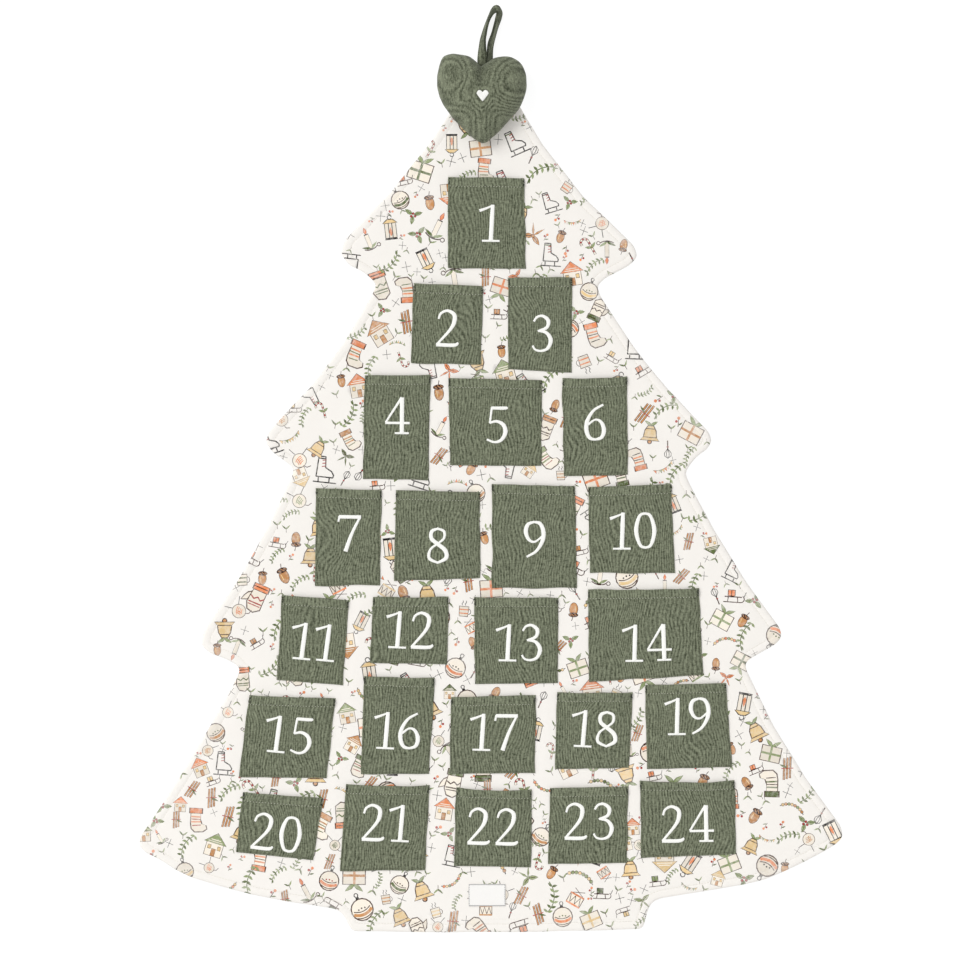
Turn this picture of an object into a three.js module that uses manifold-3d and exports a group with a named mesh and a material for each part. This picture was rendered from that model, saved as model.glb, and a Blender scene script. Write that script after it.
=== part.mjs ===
// A hanging advent calendar: a padded cloth tree with twenty-four numbered pockets,
// a stuffed heart at its top and a tape loop that hangs on a hook.
// Millimetres, +Z up, the front faces -Y. The origin is where a hook bears inside the loop.
import * as THREE from 'three';
import { mergeVertices } from 'three/addons/utils/BufferGeometryUtils.js';
import Module from 'manifold-3d';

const wasm = await Module();
wasm.setup();

// Cloth, and the play between pieces that lie on each other
const canvas_thickness = 0.8;
const wadding_thickness = 2.6;
const clearance = 0.3;

// Pockets: the nominal patch, and the strips of printed cloth between patches
const pocket_width = 85;
const pocket_height = 91;
const column_gap = 23;
const row_gap = 17;
const pocket_puff = 6.6;
const pocket_seam = 3;
const pocket_gusset = 8;
const hem_height = 10;
const hem_step = 1;
const hem_thickness = 1.5;

// Numbers embroidered on the pockets
const digit_height = 40;
const digit_spacing = 4;
const thread_relief = 0.8;
const travel_thread = 1.1;

// Tree: the padded sheet behind the pockets
const tree_drop = 80.5;
const tree_shift = -7;
const seam_width = 8.6;

// Stuffed heart
const heart_width = 96;
const heart_height = 97;
const heart_front_depth = 22;
const heart_back_depth = 9;
const heart_cloth = 1.2;
const heart_above_tree = -14;
const heart_shift = -15;
const motif_width = 13;
const motif_height = 12;
const motif_drop = 2;
const tack_length = 6;
const tack_above_tree = 8;

// Hanging loop of folded tape
const tape_width = 11;
const tape_thickness = 1;
const loop_length = 56.5;
const loop_overlap = 5.5;
const tail_depth_in_seam = 7.5;

// Label
const label_width = 40;
const label_height = 24;
const label_thickness = 0.5;
const label_place_shares = [-0.03, 8.14];

// One pitch is a nominal pocket and the strip beside it. The tree is laid out in pitches.
const column_pitch = pocket_width + column_gap;
const row_pitch = pocket_height + row_gap;
const tree_top = -tree_drop;
const wadding_half = wadding_thickness / 2;
const panel_inside = wadding_half + clearance;
const panel_face = panel_inside + canvas_thickness;

// Finishes
const canvas_finish = { color: 0xf1ece3, roughness: 0.95, metalness: 0 };
const green_finish = { color: 0x6b7160, roughness: 0.9, metalness: 0 };
const white_thread_finish = { color: 0xf4f2ea, roughness: 0.7, metalness: 0 };
const fibre_finish = { color: 0xfafafa, roughness: 1, metalness: 0 };
const label_finish = { color: 0xf7f6f2, roughness: 0.8, metalness: 0 };

const calendar = new THREE.Group();

function named(name, geometry, finish) {
  const mesh = new THREE.Mesh(geometry, new THREE.MeshStandardMaterial(finish));
  mesh.name = name;
  return mesh;
}

// A shape drawn in the X-Z plane, as a sheet whose back is at y_back
function sheet(shape, y_back, thickness) {
  const geometry = new THREE.ExtrudeGeometry(shape, { depth: thickness, bevelEnabled: false });
  geometry.rotateX(Math.PI / 2);
  geometry.translate(0, y_back, 0);
  return geometry;
}

function solid(geometry) {
  const bare = geometry.clone();
  bare.deleteAttribute('normal');
  bare.deleteAttribute('uv');
  const merged = mergeVertices(bare);
  return new wasm.Manifold(new wasm.Mesh({
    numProp: 3,
    vertProperties: Float32Array.from(merged.attributes.position.array),
    triVerts: Uint32Array.from(merged.index.array),
  }));
}

function geometryOf(manifold) {
  const mesh = manifold.getMesh();
  return geometryFrom(mesh.vertProperties, mesh.triVerts);
}

function geometryFrom(positions, triangles) {
  const geometry = new THREE.BufferGeometry();
  geometry.setAttribute('position', new THREE.Float32BufferAttribute(positions, 3));
  geometry.setIndex(Array.from(triangles));
  geometry.computeVertexNormals();
  return geometry;
}

// Tree outline, anticlockwise seen from the back: four tiers of boughs on a short trunk.
// Each corner: its place in pitches from the top middle, how far its rounding reaches along
// its edges, and how far the edge after it bows out (+) or in (-).
const tree_corner_shares = [
  [-0.19, 0.0, 0.03, -0.07],
  [-1.57, 1.74, 0.2, -0.02],
  [-1.11, 2.03, 0.06, -0.08],
  [-2.3, 3.62, 0.15, 0],
  [-1.94, 3.88, 0.06, -0.05],
  [-2.95, 5.66, 0.17, -0.01],
  [-2.47, 5.86, 0.08, -0.03],
  [-3.55, 7.65, 0.12, -0.01],
  [-2.99, 7.98, 0.2, 0.03],
  [-1.48, 8.29, 0.08, 0],
  [-1.38, 8.5, 0.03, 0.02],
  [1.53, 8.48, 0.03, 0],
  [1.6, 8.19, 0.1, 0],
  [2.75, 8.0, 0.2, 0.01],
  [3.58, 7.57, 0.14, -0.06],
  [2.52, 5.82, 0.08, 0],
  [2.96, 5.57, 0.12, -0.05],
  [1.93, 3.91, 0.06, -0.02],
  [2.26, 3.6, 0.12, -0.06],
  [1.01, 2.04, 0.15, 0],
  [1.54, 1.77, 0.16, -0.11],
  [0.15, 0.0, 0.03, 0],
];

const corner_steps = 2;
const bow_steps = 3;

// The corners moved in by a distance measured square to both edges
function insetCorners(corners, inset) {
  return corners.map((corner, i) => {
    const before = corners[(i + corners.length - 1) % corners.length];
    const after = corners[(i + 1) % corners.length];
    const into = corner.clone().sub(before).normalize();
    const out = after.clone().sub(corner).normalize();
    const inward_a = new THREE.Vector2(-into.y, into.x);
    const inward_b = new THREE.Vector2(-out.y, out.x);
    const mitre = inset / (1 + inward_a.dot(inward_b));
    return corner.clone().addScaledVector(inward_a.add(inward_b), mitre);
  });
}

function treeOutline(inset) {
  const centre = (share) => tree_shift + share * column_pitch;
  const raw = tree_corner_shares.map(([x, z]) => new THREE.Vector2(centre(x), tree_top - z * row_pitch));
  const corners = insetCorners(raw, inset);
  const pitch = Math.min(column_pitch, row_pitch);
  const points = [];
  const reach = (i, towards) => {
    const round = tree_corner_shares[i][2] * pitch;
    return corners[i].clone().addScaledVector(towards.clone().sub(corners[i]).normalize(), round);
  };
  corners.forEach((corner, i) => {
    const last = (i + corners.length - 1) % corners.length;
    const next = (i + 1) % corners.length;
    const start = reach(i, corners[last]);
    const leave = reach(i, corners[next]);
    const round = new THREE.QuadraticBezierCurve(start, corner, leave);
    points.push(...round.getPoints(corner_steps));
    const bow = tree_corner_shares[i][3] * pitch;
    if (bow !== 0) {
      const arrive = reach(next, corner);
      const along = arrive.clone().sub(leave).normalize();
      const outward = new THREE.Vector2(along.y, -along.x);
      const middle = leave.clone().add(arrive).multiplyScalar(0.5).addScaledVector(outward, 2 * bow);
      const curve = new THREE.QuadraticBezierCurve(leave, middle, arrive);
      points.push(...curve.getPoints(bow_steps).slice(1, -1));
    }
  });
  return points;
}

// One face of the tree, in the front half: a sheet of canvas with its seam allowance turned
// in round the edge, and a slot in the seam where the tape enters. The back face mirrors it.
function treePanel() {
  const face = new THREE.Shape(treeOutline(0));
  const turned = new THREE.Shape(treeOutline(0));
  turned.holes.push(new THREE.Path(treeOutline(seam_width)));
  const seam_play = clearance / 2;
  const seam_depth = panel_face - seam_play;
  const slot_width = tape_width + loop_overlap + 2 * clearance;
  const slot_depth = 2 * (loopHalfDepth() + clearance);
  const slot = new THREE.BoxGeometry(slot_width, slot_depth, 2 * seam_width);
  slot.translate(tailCentre(), 0, tree_top);
  return solid(sheet(face, -panel_inside, canvas_thickness))
    .add(solid(sheet(turned, -seam_play, seam_depth)))
    .subtract(solid(slot));
}

function loopHalfDepth() {
  return tape_thickness + clearance / 2;
}

function tailCentre() {
  const [left_share] = tree_corner_shares[0];
  const [right_share] = tree_corner_shares[tree_corner_shares.length - 1];
  return tree_shift + (left_share + right_share) / 2 * column_pitch;
}

function addTree() {
  const panel = treePanel();
  calendar.add(named('front_panel', geometryOf(panel), canvas_finish));
  calendar.add(named('back_panel', geometryOf(panel.mirror([0, 1, 0])), canvas_finish));
  const filling = new THREE.Shape(treeOutline(seam_width + clearance));
  calendar.add(named('wadding', sheet(filling, wadding_half, wadding_thickness), fibre_finish));
  const label = new THREE.BoxGeometry(label_width, label_thickness, label_height);
  const [label_x_share, label_z_share] = label_place_shares;
  label.translate(
    tree_shift + label_x_share * column_pitch,
    -panel_face - clearance - label_thickness / 2,
    tree_top - label_z_share * row_pitch,
  );
  calendar.add(named('label', label, label_finish));
}

// Where the pockets sit, in pitches from the tree's top middle to the pocket's middle, their
// size as shares of the nominal pocket, their tilt in degrees anticlockwise, and the number's
// place as shares of the pocket's size from its middle
const pocket_place_shares = [
  [-0.04, 1.43, 0.97, 1.06, 0.3, 0.04, 0.01],
  [-0.42, 2.44, 0.88, 0.94, -2.1, 0, -0.04],
  [0.5, 2.43, 0.81, 1.11, -0.4, 0.03, -0.1],
  [-0.93, 3.47, 0.83, 1.23, -0.5, 0, 0.12],
  [0.06, 3.42, 1.18, 1.02, -0.4, 0.01, -0.02],
  [1.05, 3.47, 0.82, 1.13, -0.3, 0, 0.06],
  [-1.42, 4.57, 0.84, 1.14, -0.8, 0.02, 0.05],
  [-0.53, 4.54, 1.08, 1.05, -0.1, 0.01, -0.12],
  [0.44, 4.56, 1.07, 1.22, 0, 0.01, -0.02],
  [1.41, 4.48, 1.08, 1.04, 1.4, 0.02, -0.02],
  [-1.77, 5.59, 0.84, 1.01, -4.1, 0, -0.02],
  [-0.8, 5.49, 0.97, 0.79, -1.3, 0, 0],
  [0.27, 5.6, 1.05, 1.01, 0.4, 0.02, -0.02],
  [1.54, 5.53, 1.43, 1.06, 1.9, 0.02, -0.1],
  [-2.03, 6.57, 1.1, 0.96, -4.2, 0.02, 0.04],
  [-0.93, 6.45, 0.88, 1.14, -1.3, 0, -0.05],
  [0.03, 6.54, 1.09, 0.91, -0.3, 0.01, 0.04],
  [1.03, 6.5, 0.95, 0.89, -1.5, 0.02, 0.03],
  [1.98, 6.45, 1.05, 0.99, 2, 0, 0.12],
  [-2.11, 7.44, 1.01, 0.73, -6.7, -0.02, -0.13],
  [-1.05, 7.47, 1.07, 1.01, -1.7, 0, 0.06],
  [0.03, 7.47, 0.97, 0.91, -1.4, 0, 0.02],
  [0.98, 7.44, 1, 0.9, -0.1, 0.01, 0.05],
  [1.98, 7.39, 1.2, 0.86, 1.1, -0.01, -0.05],
];

// How far the middle column of the gusset has come forward, of the whole puff
const gusset_middle_share = 0.58;

// A closed sheet between an outer and an inner grid of points with the same rows and columns
function shellOfGrids(outer, inner) {
  const rows = outer.length;
  const columns = outer[0].length;
  const positions = [...outer.flat(), ...inner.flat()].flatMap((p) => [p.x, p.y, p.z]);
  const out = (r, c) => r * columns + c;
  const back = (r, c) => rows * columns + r * columns + c;
  const triangles = [];
  const quad = (a, b, c, d) => triangles.push(a, b, c, a, c, d);
  for (let r = 0; r < rows - 1; r += 1) {
    for (let c = 0; c < columns - 1; c += 1) {
      quad(out(r, c), out(r, c + 1), out(r + 1, c + 1), out(r + 1, c));
      quad(back(r, c), back(r + 1, c), back(r + 1, c + 1), back(r, c + 1));
    }
    quad(out(r, 0), out(r + 1, 0), back(r + 1, 0), back(r, 0));
    quad(out(r + 1, columns - 1), out(r, columns - 1), back(r, columns - 1), back(r + 1, columns - 1));
  }
  for (let c = 0; c < columns - 1; c += 1) {
    quad(out(0, c + 1), out(0, c), back(0, c), back(0, c + 1));
    quad(out(rows - 1, c), out(rows - 1, c + 1), back(rows - 1, c + 1), back(rows - 1, c));
  }
  return geometryFrom(positions, triangles);
}

// A patch pocket around its own middle: sewn flat at its sides and bottom, it comes forward
// over a gusset at each side, and more and more towards its open mouth
function pocketShell(width, height) {
  const half = width / 2;
  const gusset_start = half - pocket_seam;
  const gusset_end = gusset_start - pocket_gusset;
  const gusset_middle = (gusset_start + gusset_end) / 2;
  const left_columns = [
    [-half, 0],
    [-gusset_start, 0],
    [-gusset_middle, gusset_middle_share],
    [-gusset_end, 1],
  ];
  const right_columns = left_columns.map(([x, share]) => [-x, share]).reverse();
  const columns = [...left_columns, ...right_columns];
  const hem_line = height - hem_height;
  const rows = [
    [0, canvas_thickness],
    [pocket_seam, canvas_thickness],
    [hem_line, canvas_thickness],
    [hem_line + hem_step, hem_thickness],
    [height, hem_thickness],
  ];
  const inside = ([v], share) => clearance + share * pocketDepth(v, height);
  const grid = (extra) => rows.map((row) => columns.map(([x, share]) => (
    new THREE.Vector3(x, -inside(row, share) - extra * row[1], row[0] - height / 2)
  )));
  return shellOfGrids(grid(1), grid(0));
}

function pocketDepth(v, height) {
  return pocket_puff * Math.max(0, v - pocket_seam) / (height - pocket_seam);
}

// Digits as satin-stitched strokes. Each stroke is a line through points, each point with the
// stroke's width there, all as shares of the digit's height. A foot is where the travel thread
// meets the digit.
const digit_shares = {
  0: {
    width: 0.6,
    foot: 0.3,
    strokes: [
      [[0.34, 0.97, 0.05], [0.16, 0.89, 0.08], [0.06, 0.5, 0.11], [0.16, 0.11, 0.08], [0.34, 0.03, 0.05]],
      [[0.27, 0.97, 0.05], [0.45, 0.89, 0.08], [0.55, 0.5, 0.11], [0.45, 0.11, 0.08], [0.27, 0.03, 0.05]],
    ],
  },
  1: {
    width: 0.54,
    foot: 0.3,
    strokes: [
      [[0.32, 0.99, 0.11], [0.3, 0.02, 0.11]],
      [[0.34, 0.96, 0.06], [0.18, 0.88, 0.05], [0.02, 0.85, 0.05]],
      [[0.08, 0.025, 0.05], [0.54, 0.025, 0.05]],
    ],
  },
  2: {
    width: 0.66,
    foot: 0.3,
    strokes: [
      [[0.07, 0.74, 0.05], [0.13, 0.89, 0.06], [0.3, 0.97, 0.07], [0.48, 0.88, 0.1],
        [0.5, 0.7, 0.11], [0.4, 0.47, 0.08], [0.04, 0.04, 0.05]],
      [[0.03, 0.045, 0.09], [0.5, 0.045, 0.09], [0.63, 0.11, 0.05]],
    ],
  },
  3: {
    width: 0.6,
    foot: 0.32,
    strokes: [
      [[0.08, 0.82, 0.05], [0.17, 0.94, 0.06], [0.32, 0.97, 0.07], [0.47, 0.85, 0.1],
        [0.43, 0.66, 0.08], [0.19, 0.56, 0.05]],
      [[0.2, 0.57, 0.05], [0.42, 0.52, 0.08], [0.54, 0.33, 0.11], [0.47, 0.11, 0.08],
        [0.3, 0.03, 0.06], [0.13, 0.06, 0.05], [0.05, 0.17, 0.05]],
    ],
  },
  4: {
    width: 0.68,
    foot: 0.46,
    strokes: [
      [[0.46, 0.99, 0.06], [0.03, 0.31, 0.05]],
      [[0.02, 0.3, 0.06], [0.68, 0.3, 0.06]],
      [[0.47, 0.99, 0.11], [0.47, 0.02, 0.11]],
      [[0.28, 0.025, 0.05], [0.66, 0.025, 0.05]],
    ],
  },
  5: {
    width: 0.64,
    foot: 0.26,
    strokes: [
      [[0.17, 0.95, 0.08], [0.54, 0.95, 0.08], [0.6, 0.98, 0.04]],
      [[0.18, 0.97, 0.05], [0.13, 0.54, 0.05]],
      [[0.12, 0.55, 0.05], [0.32, 0.59, 0.07], [0.5, 0.49, 0.1], [0.55, 0.29, 0.11],
        [0.44, 0.09, 0.08], [0.26, 0.03, 0.06], [0.05, 0.1, 0.05]],
    ],
  },
  6: {
    width: 0.6,
    foot: 0.32,
    strokes: [
      [[0.52, 0.98, 0.05], [0.26, 0.82, 0.07], [0.09, 0.54, 0.1], [0.07, 0.28, 0.11],
        [0.16, 0.08, 0.09], [0.34, 0.03, 0.05]],
      [[0.3, 0.03, 0.05], [0.48, 0.1, 0.09], [0.54, 0.3, 0.11], [0.46, 0.51, 0.08],
        [0.3, 0.57, 0.05], [0.09, 0.42, 0.05]],
    ],
  },
  7: {
    width: 0.66,
    foot: 0.24,
    strokes: [
      [[0.05, 0.945, 0.09], [0.64, 0.945, 0.09]],
      [[0.06, 0.97, 0.05], [0.03, 0.81, 0.05]],
      [[0.62, 0.96, 0.05], [0.4, 0.5, 0.08], [0.23, 0.01, 0.11]],
    ],
  },
  8: {
    width: 0.6,
    foot: 0.3,
    strokes: [
      [[0.33, 0.97, 0.05], [0.14, 0.89, 0.09], [0.13, 0.69, 0.1], [0.32, 0.53, 0.1],
        [0.5, 0.37, 0.11], [0.52, 0.17, 0.1], [0.28, 0.03, 0.05]],
      [[0.27, 0.97, 0.05], [0.46, 0.89, 0.07], [0.46, 0.7, 0.06], [0.3, 0.56, 0.05],
        [0.1, 0.4, 0.06], [0.07, 0.16, 0.08], [0.32, 0.03, 0.05]],
    ],
  },
};

// A nine is a six turned upside down
digit_shares[9] = {
  width: digit_shares[6].width,
  foot: 0.1,
  strokes: digit_shares[6].strokes.map((stroke) => (
    stroke.map(([x, y, w]) => [digit_shares[6].width - x, 1 - y, w])
  )),
};

const stroke_steps_per_span = 2;

// The outline of a stroke: its centre line, offset to both sides by half its width
function strokeShape(stroke, left) {
  const points = stroke.map(([x, y]) => new THREE.Vector2(left + x * digit_height, y * digit_height));
  const curve = new THREE.SplineCurve(points);
  const spans = points.length - 1;
  const steps = spans === 1 ? 1 : spans * stroke_steps_per_span;
  const one_side = [];
  const other_side = [];
  for (let i = 0; i <= steps; i += 1) {
    const t = i / steps;
    const place = curve.getPoint(t);
    const tangent = curve.getTangent(t);
    const before = Math.min(Math.floor(t * spans), spans - 1);
    const part = t * spans - before;
    const width = THREE.MathUtils.lerp(stroke[before][2], stroke[before + 1][2], part) * digit_height;
    const normal = new THREE.Vector2(-tangent.y, tangent.x);
    one_side.push(place.clone().addScaledVector(normal, width / 2));
    other_side.push(place.clone().addScaledVector(normal, -width / 2));
  }
  return new THREE.Shape([...one_side, ...other_side.reverse()]);
}

// The embroidered number around its own middle, its back at y = 0. The thread runs on from the
// foot of one digit to the foot of the next.
function numberGeometry(number) {
  const digits = Array.from(String(number), Number);
  const widths = digits.map((digit) => digit_shares[digit].width * digit_height);
  const total = widths.reduce((sum, width) => sum + width, 0) + digit_spacing * (digits.length - 1);
  let left = -total / 2;
  const feet = [];
  const sheets = [];
  digits.forEach((digit, i) => {
    for (const stroke of digit_shares[digit].strokes) {
      sheets.push(solid(sheet(strokeShape(stroke, left), 0, thread_relief)));
    }
    feet.push(left + digit_shares[digit].foot * digit_height);
    left += widths[i] + digit_spacing;
  });
  if (feet.length > 1) {
    const length = feet[1] - feet[0];
    const thread = new THREE.BoxGeometry(length, thread_relief, travel_thread);
    thread.translate(feet[0] + length / 2, -thread_relief / 2, travel_thread);
    sheets.push(solid(thread));
  }
  const geometry = geometryOf(sheets.reduce((whole, next) => whole.add(next)));
  geometry.translate(0, 0, -digit_height / 2);
  return geometry;
}

function addPockets() {
  pocket_place_shares.forEach(([x, z, wide, high, tilt, number_x, number_z], i) => {
    const number = i + 1;
    const suffix = String(number).padStart(2, '0');
    const width = wide * pocket_width;
    const height = high * pocket_height;
    const place = new THREE.Group();
    place.position.set(tree_shift + x * column_pitch, -panel_face, tree_top - z * row_pitch);
    place.rotation.y = -THREE.MathUtils.degToRad(tilt);
    place.add(named(`pocket_${suffix}`, pocketShell(width, height), green_finish));

    const digits = named(`number_${suffix}`, numberGeometry(number), white_thread_finish);
    const lean = Math.atan2(pocket_puff, height - pocket_seam);
    const rise = number_z * height;
    const slope_depth = pocket_puff * (rise + height / 2 - pocket_seam) / (height - pocket_seam);
    const surface = clearance + canvas_thickness + slope_depth;
    digits.position.set(number_x * width, -surface - clearance / Math.cos(lean), rise);
    digits.rotation.x = lean;
    place.add(digits);
    calendar.add(place);
  });
}

// Heart outline: the left side from the cleft to the tip, then the right side back to the
// cleft, as shares of the heart's width and height from its middle
const heart_left_shares = [
  [-0.01, 0.306], [-0.096, 0.378], [-0.197, 0.428], [-0.309, 0.441], [-0.41, 0.4],
  [-0.478, 0.311], [-0.511, 0.167], [-0.5, 0.022], [-0.433, -0.1], [-0.32, -0.244],
  [-0.208, -0.378], [-0.096, -0.483], [0.017, -0.55],
];
const heart_right_shares = [
  [0.017, -0.55], [0.129, -0.483], [0.242, -0.389], [0.343, -0.256], [0.433, -0.122],
  [0.483, 0], [0.489, 0.133], [0.455, 0.267], [0.388, 0.367], [0.287, 0.422],
  [0.174, 0.411], [0.073, 0.361], [-0.01, 0.306],
];
const heart_side_steps = 17;

// The rings that carry the heart's crown, as shares of the way from its middle to its seam
const heart_ring_shares = [1, 0.93, 0.78, 0.55, 0.28];
const crown_rim_power = 2.2;
const crown_top_power = 0.6;

function heartCrown(ring_share) {
  return (1 - ring_share ** crown_rim_power) ** crown_top_power;
}

function heartOutline() {
  const side = (shares) => {
    const points = shares.map(([x, z]) => new THREE.Vector2(x * heart_width, z * heart_height));
    return new THREE.SplineCurve(points).getPoints(heart_side_steps).slice(0, -1);
  };
  return [...side(heart_left_shares), ...side(heart_right_shares)];
}

// One crowned face of the heart as rings of points from the seam to the middle. The inset
// moves it inside the outer surface, by a thickness of cloth for instance.
function heartRings(depth, inset, seam_play, direction) {
  return heart_ring_shares.map((ring_share) => heartOutline().map((point) => {
    const shrink = ring_share * (1 - inset / point.length());
    const crown = ring_share === 1 ? 0 : Math.max(0, depth * heartCrown(ring_share) - inset);
    return new THREE.Vector3(point.x * shrink, direction * (crown + seam_play), point.y * shrink);
  }));
}

// A surface through rings, closed by a flat fan at the middle ring
function ringTriangles(rings, first, flipped) {
  const triangles = [];
  const count = rings[0].length;
  const add = (a, b, c) => (flipped ? triangles.push(a, c, b) : triangles.push(a, b, c));
  for (let r = 0; r < rings.length - 1; r += 1) {
    for (let i = 0; i < count; i += 1) {
      const j = (i + 1) % count;
      const [a, b] = [first + r * count + i, first + r * count + j];
      const [c, d] = [a + count, b + count];
      add(a, b, d);
      add(a, d, c);
    }
  }
  const middle = first + rings.length * count;
  for (let i = 0; i < count; i += 1) {
    const ring = first + (rings.length - 1) * count;
    add(ring + i, ring + (i + 1) % count, middle);
  }
  return triangles;
}

function ringPoints(rings) {
  const inner = rings[rings.length - 1];
  const middle = new THREE.Vector3(0, inner[0].y, 0);
  return [...rings.flat(), middle].flatMap((p) => [p.x, p.y, p.z]);
}

// One half of the heart's cover: an outer and an inner face that meet at the seam
function heartShell(depth, direction) {
  const seam_play = clearance / 2;
  const outer = heartRings(depth, 0, seam_play, direction);
  const inner = heartRings(depth, heart_cloth, seam_play, direction);
  const positions = [...ringPoints(outer), ...ringPoints(inner)];
  const count = outer[0].length;
  const first_inner = outer.length * count + 1;
  const flipped = direction > 0;
  const triangles = [
    ...ringTriangles(outer, 0, flipped),
    ...ringTriangles(inner, first_inner, !flipped),
  ];
  for (let i = 0; i < count; i += 1) {
    const j = (i + 1) % count;
    const rim = [i, first_inner + i, first_inner + j, j];
    const [a, b, c, d] = flipped ? rim.slice().reverse() : rim;
    triangles.push(a, b, c, a, c, d);
  }
  return geometryFrom(positions, triangles);
}

function heartFilling() {
  const inset = heart_cloth + clearance;
  const front = heartRings(heart_front_depth, inset, 0, -1);
  const back = heartRings(heart_back_depth, inset, 0, 1);
  const positions = [...ringPoints(front), ...ringPoints(back)];
  const first_back = front.length * front[0].length + 1;
  const triangles = [
    ...ringTriangles(front, 0, false),
    ...ringTriangles(back, first_back, true),
  ];
  const geometry = geometryFrom(positions, triangles);
  return mergeVertices(geometry.deleteAttribute('normal'));
}

// How far the heart's back stands behind its seam at a place measured from its middle
function heartBackAt(x, z) {
  const outline = heartOutline();
  const place = new THREE.Vector2(x, z);
  const reaches = outline.map((from, i) => {
    const edge = outline[(i + 1) % outline.length].clone().sub(from);
    const along_edge = place.cross(from) / -place.cross(edge);
    const hit = from.clone().addScaledVector(edge, along_edge);
    return along_edge >= 0 && along_edge <= 1 && hit.dot(place) > 0 ? hit.length() : Infinity;
  });
  const ring_share = Math.max(place.length() / Math.min(...reaches), heart_ring_shares.at(-1));
  return heart_back_depth * heartCrown(Math.min(1, ring_share));
}

const tack_sides = 8;

// The small embroidered heart: two lobes and a tip
const motif_shares = [
  [0, 0.3], [-0.14, 0.47], [-0.34, 0.48], [-0.5, 0.3], [-0.46, 0.08], [-0.25, -0.22],
  [0, -0.52], [0.25, -0.22], [0.46, 0.08], [0.5, 0.3], [0.34, 0.48], [0.14, 0.47],
];

function addHeart() {
  const heart = new THREE.Group();
  const seam_y = -panel_face - clearance - heart_back_depth - clearance / 2;
  const middle_z = tree_top + heart_above_tree;
  heart.position.set(heart_shift, seam_y, middle_z);
  heart.add(named('heart_front', heartShell(heart_front_depth, -1), green_finish));
  heart.add(named('heart_back', heartShell(heart_back_depth, 1), green_finish));
  heart.add(named('heart_filling', heartFilling(), fibre_finish));

  const crown = heart_front_depth * heartCrown(heart_ring_shares.at(-1)) + clearance / 2;
  const motif = new THREE.Shape(motif_shares.map(([x, z]) => (
    new THREE.Vector2(x * motif_width, z * motif_height - motif_drop)
  )));
  heart.add(named('heart_motif', sheet(motif, -crown - clearance, thread_relief), white_thread_finish));

  // The tack is a bundle of hand stitches between the tape and the heart's back
  const tack_height = tack_above_tree - heart_above_tree;
  const tack_x = tailCentre() - heart_shift;
  const ends = [tack_x - tack_length / 2, tack_x + tack_length / 2];
  const heart_back = seam_y + Math.max(...ends.map((x) => heartBackAt(x, tack_height - tack_length / 4)));
  const tape_front = -loopHalfDepth();
  const tack_radius = (tape_front - heart_back) / 2 - clearance;
  const tack = new THREE.CylinderGeometry(tack_radius, tack_radius, tack_length, tack_sides);
  tack.rotateZ(Math.PI / 2);
  tack.translate(tack_x, (tape_front + heart_back) / 2 - seam_y, tack_height);
  heart.add(named('heart_tack', tack, green_finish));
  calendar.add(heart);
}

// The loop's route round the hook, from the front end of the tape, up the left leg, over the
// hook and down the right leg: across as shares of the tape's width, and down as shares of the
// loop's length
const loop_route_shares = [
  [-1.27, 1], [-1.3, 0.84], [-1.24, 0.66], [-1.08, 0.47], [-0.83, 0.29], [-0.58, 0.14],
  [-0.34, 0.04], [0, 0], [0.34, 0.045], [0.45, 0.14], [0.31, 0.29], [0.03, 0.47],
  [-0.32, 0.66], [-0.62, 0.84], [-0.77, 1],
];
const loop_steps = 42;
const twist_power = 1.8;

function hangingLoop() {
  const seat = tape_thickness / 2;
  const spread = loopHalfDepth() - tape_thickness / 2;
  const last = loop_route_shares.length - 1;
  const route = loop_route_shares.map(([x, drop], i) => {
    const y = drop ** 2 * spread * (i < last / 2 ? -1 : 1);
    return new THREE.Vector3(x * tape_width, y, seat - drop * (loop_length + seat));
  });
  const curve = new THREE.CatmullRomCurve3(route);
  const outer = [];
  const inner = [];
  for (let i = 0; i <= loop_steps; i += 1) {
    const t = i / loop_steps;
    const place = curve.getPoint(t);
    const tangent = curve.getTangent(t);
    if (i === 0 || i === loop_steps) {
      tangent.set(0, 0, Math.sign(tangent.z));
    }
    const drop = Math.min(1, Math.max(0, (seat - place.z) / (loop_length + seat)));
    const twist = Math.PI / 2 * (1 - drop ** twist_power);
    const across = new THREE.Vector3(Math.cos(twist), -Math.sin(twist), 0);
    across.addScaledVector(tangent, -across.dot(tangent)).normalize();
    const out = new THREE.Vector3().crossVectors(across, tangent);
    const corner = (side, face) => place.clone()
      .addScaledVector(across, side * tape_width / 2)
      .addScaledVector(out, face * tape_thickness / 2);
    outer.push([corner(-1, 1), corner(1, 1)]);
    inner.push([corner(-1, -1), corner(1, -1)]);
  }
  return shellOfGrids(outer, inner);
}

const bend_sides = 16;

// The tape's two ends below the loop, sewn into the tree's top seam. Its upper end is rounded
// about the line where the tape bends when the tree swings.
function loopTail() {
  const knuckle = loopHalfDepth();
  const bend_z = -loop_length - clearance - knuckle;
  const left = loop_route_shares[0][0] * tape_width - tape_width / 2;
  const right = loop_route_shares.at(-1)[0] * tape_width + tape_width / 2;
  const foot_half = (tape_width + clearance) / 2;
  const ends = new THREE.Shape([
    new THREE.Vector2(left, bend_z),
    new THREE.Vector2(tailCentre() - foot_half, tree_top),
    new THREE.Vector2(tailCentre() - foot_half, tree_top - tail_depth_in_seam),
    new THREE.Vector2(tailCentre() + foot_half, tree_top - tail_depth_in_seam),
    new THREE.Vector2(tailCentre() + foot_half, tree_top),
    new THREE.Vector2(right, bend_z),
  ]);
  const bend = new THREE.CylinderGeometry(knuckle, knuckle, right - left, bend_sides);
  bend.rotateZ(Math.PI / 2);
  bend.translate((left + right) / 2, 0, bend_z);
  return geometryOf(solid(sheet(ends, knuckle, 2 * knuckle)).add(solid(bend)));
}

function addLoop() {
  calendar.add(named('hanging_loop', hangingLoop(), green_finish));
  calendar.add(named('loop_tail', loopTail(), green_finish));
}

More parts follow.
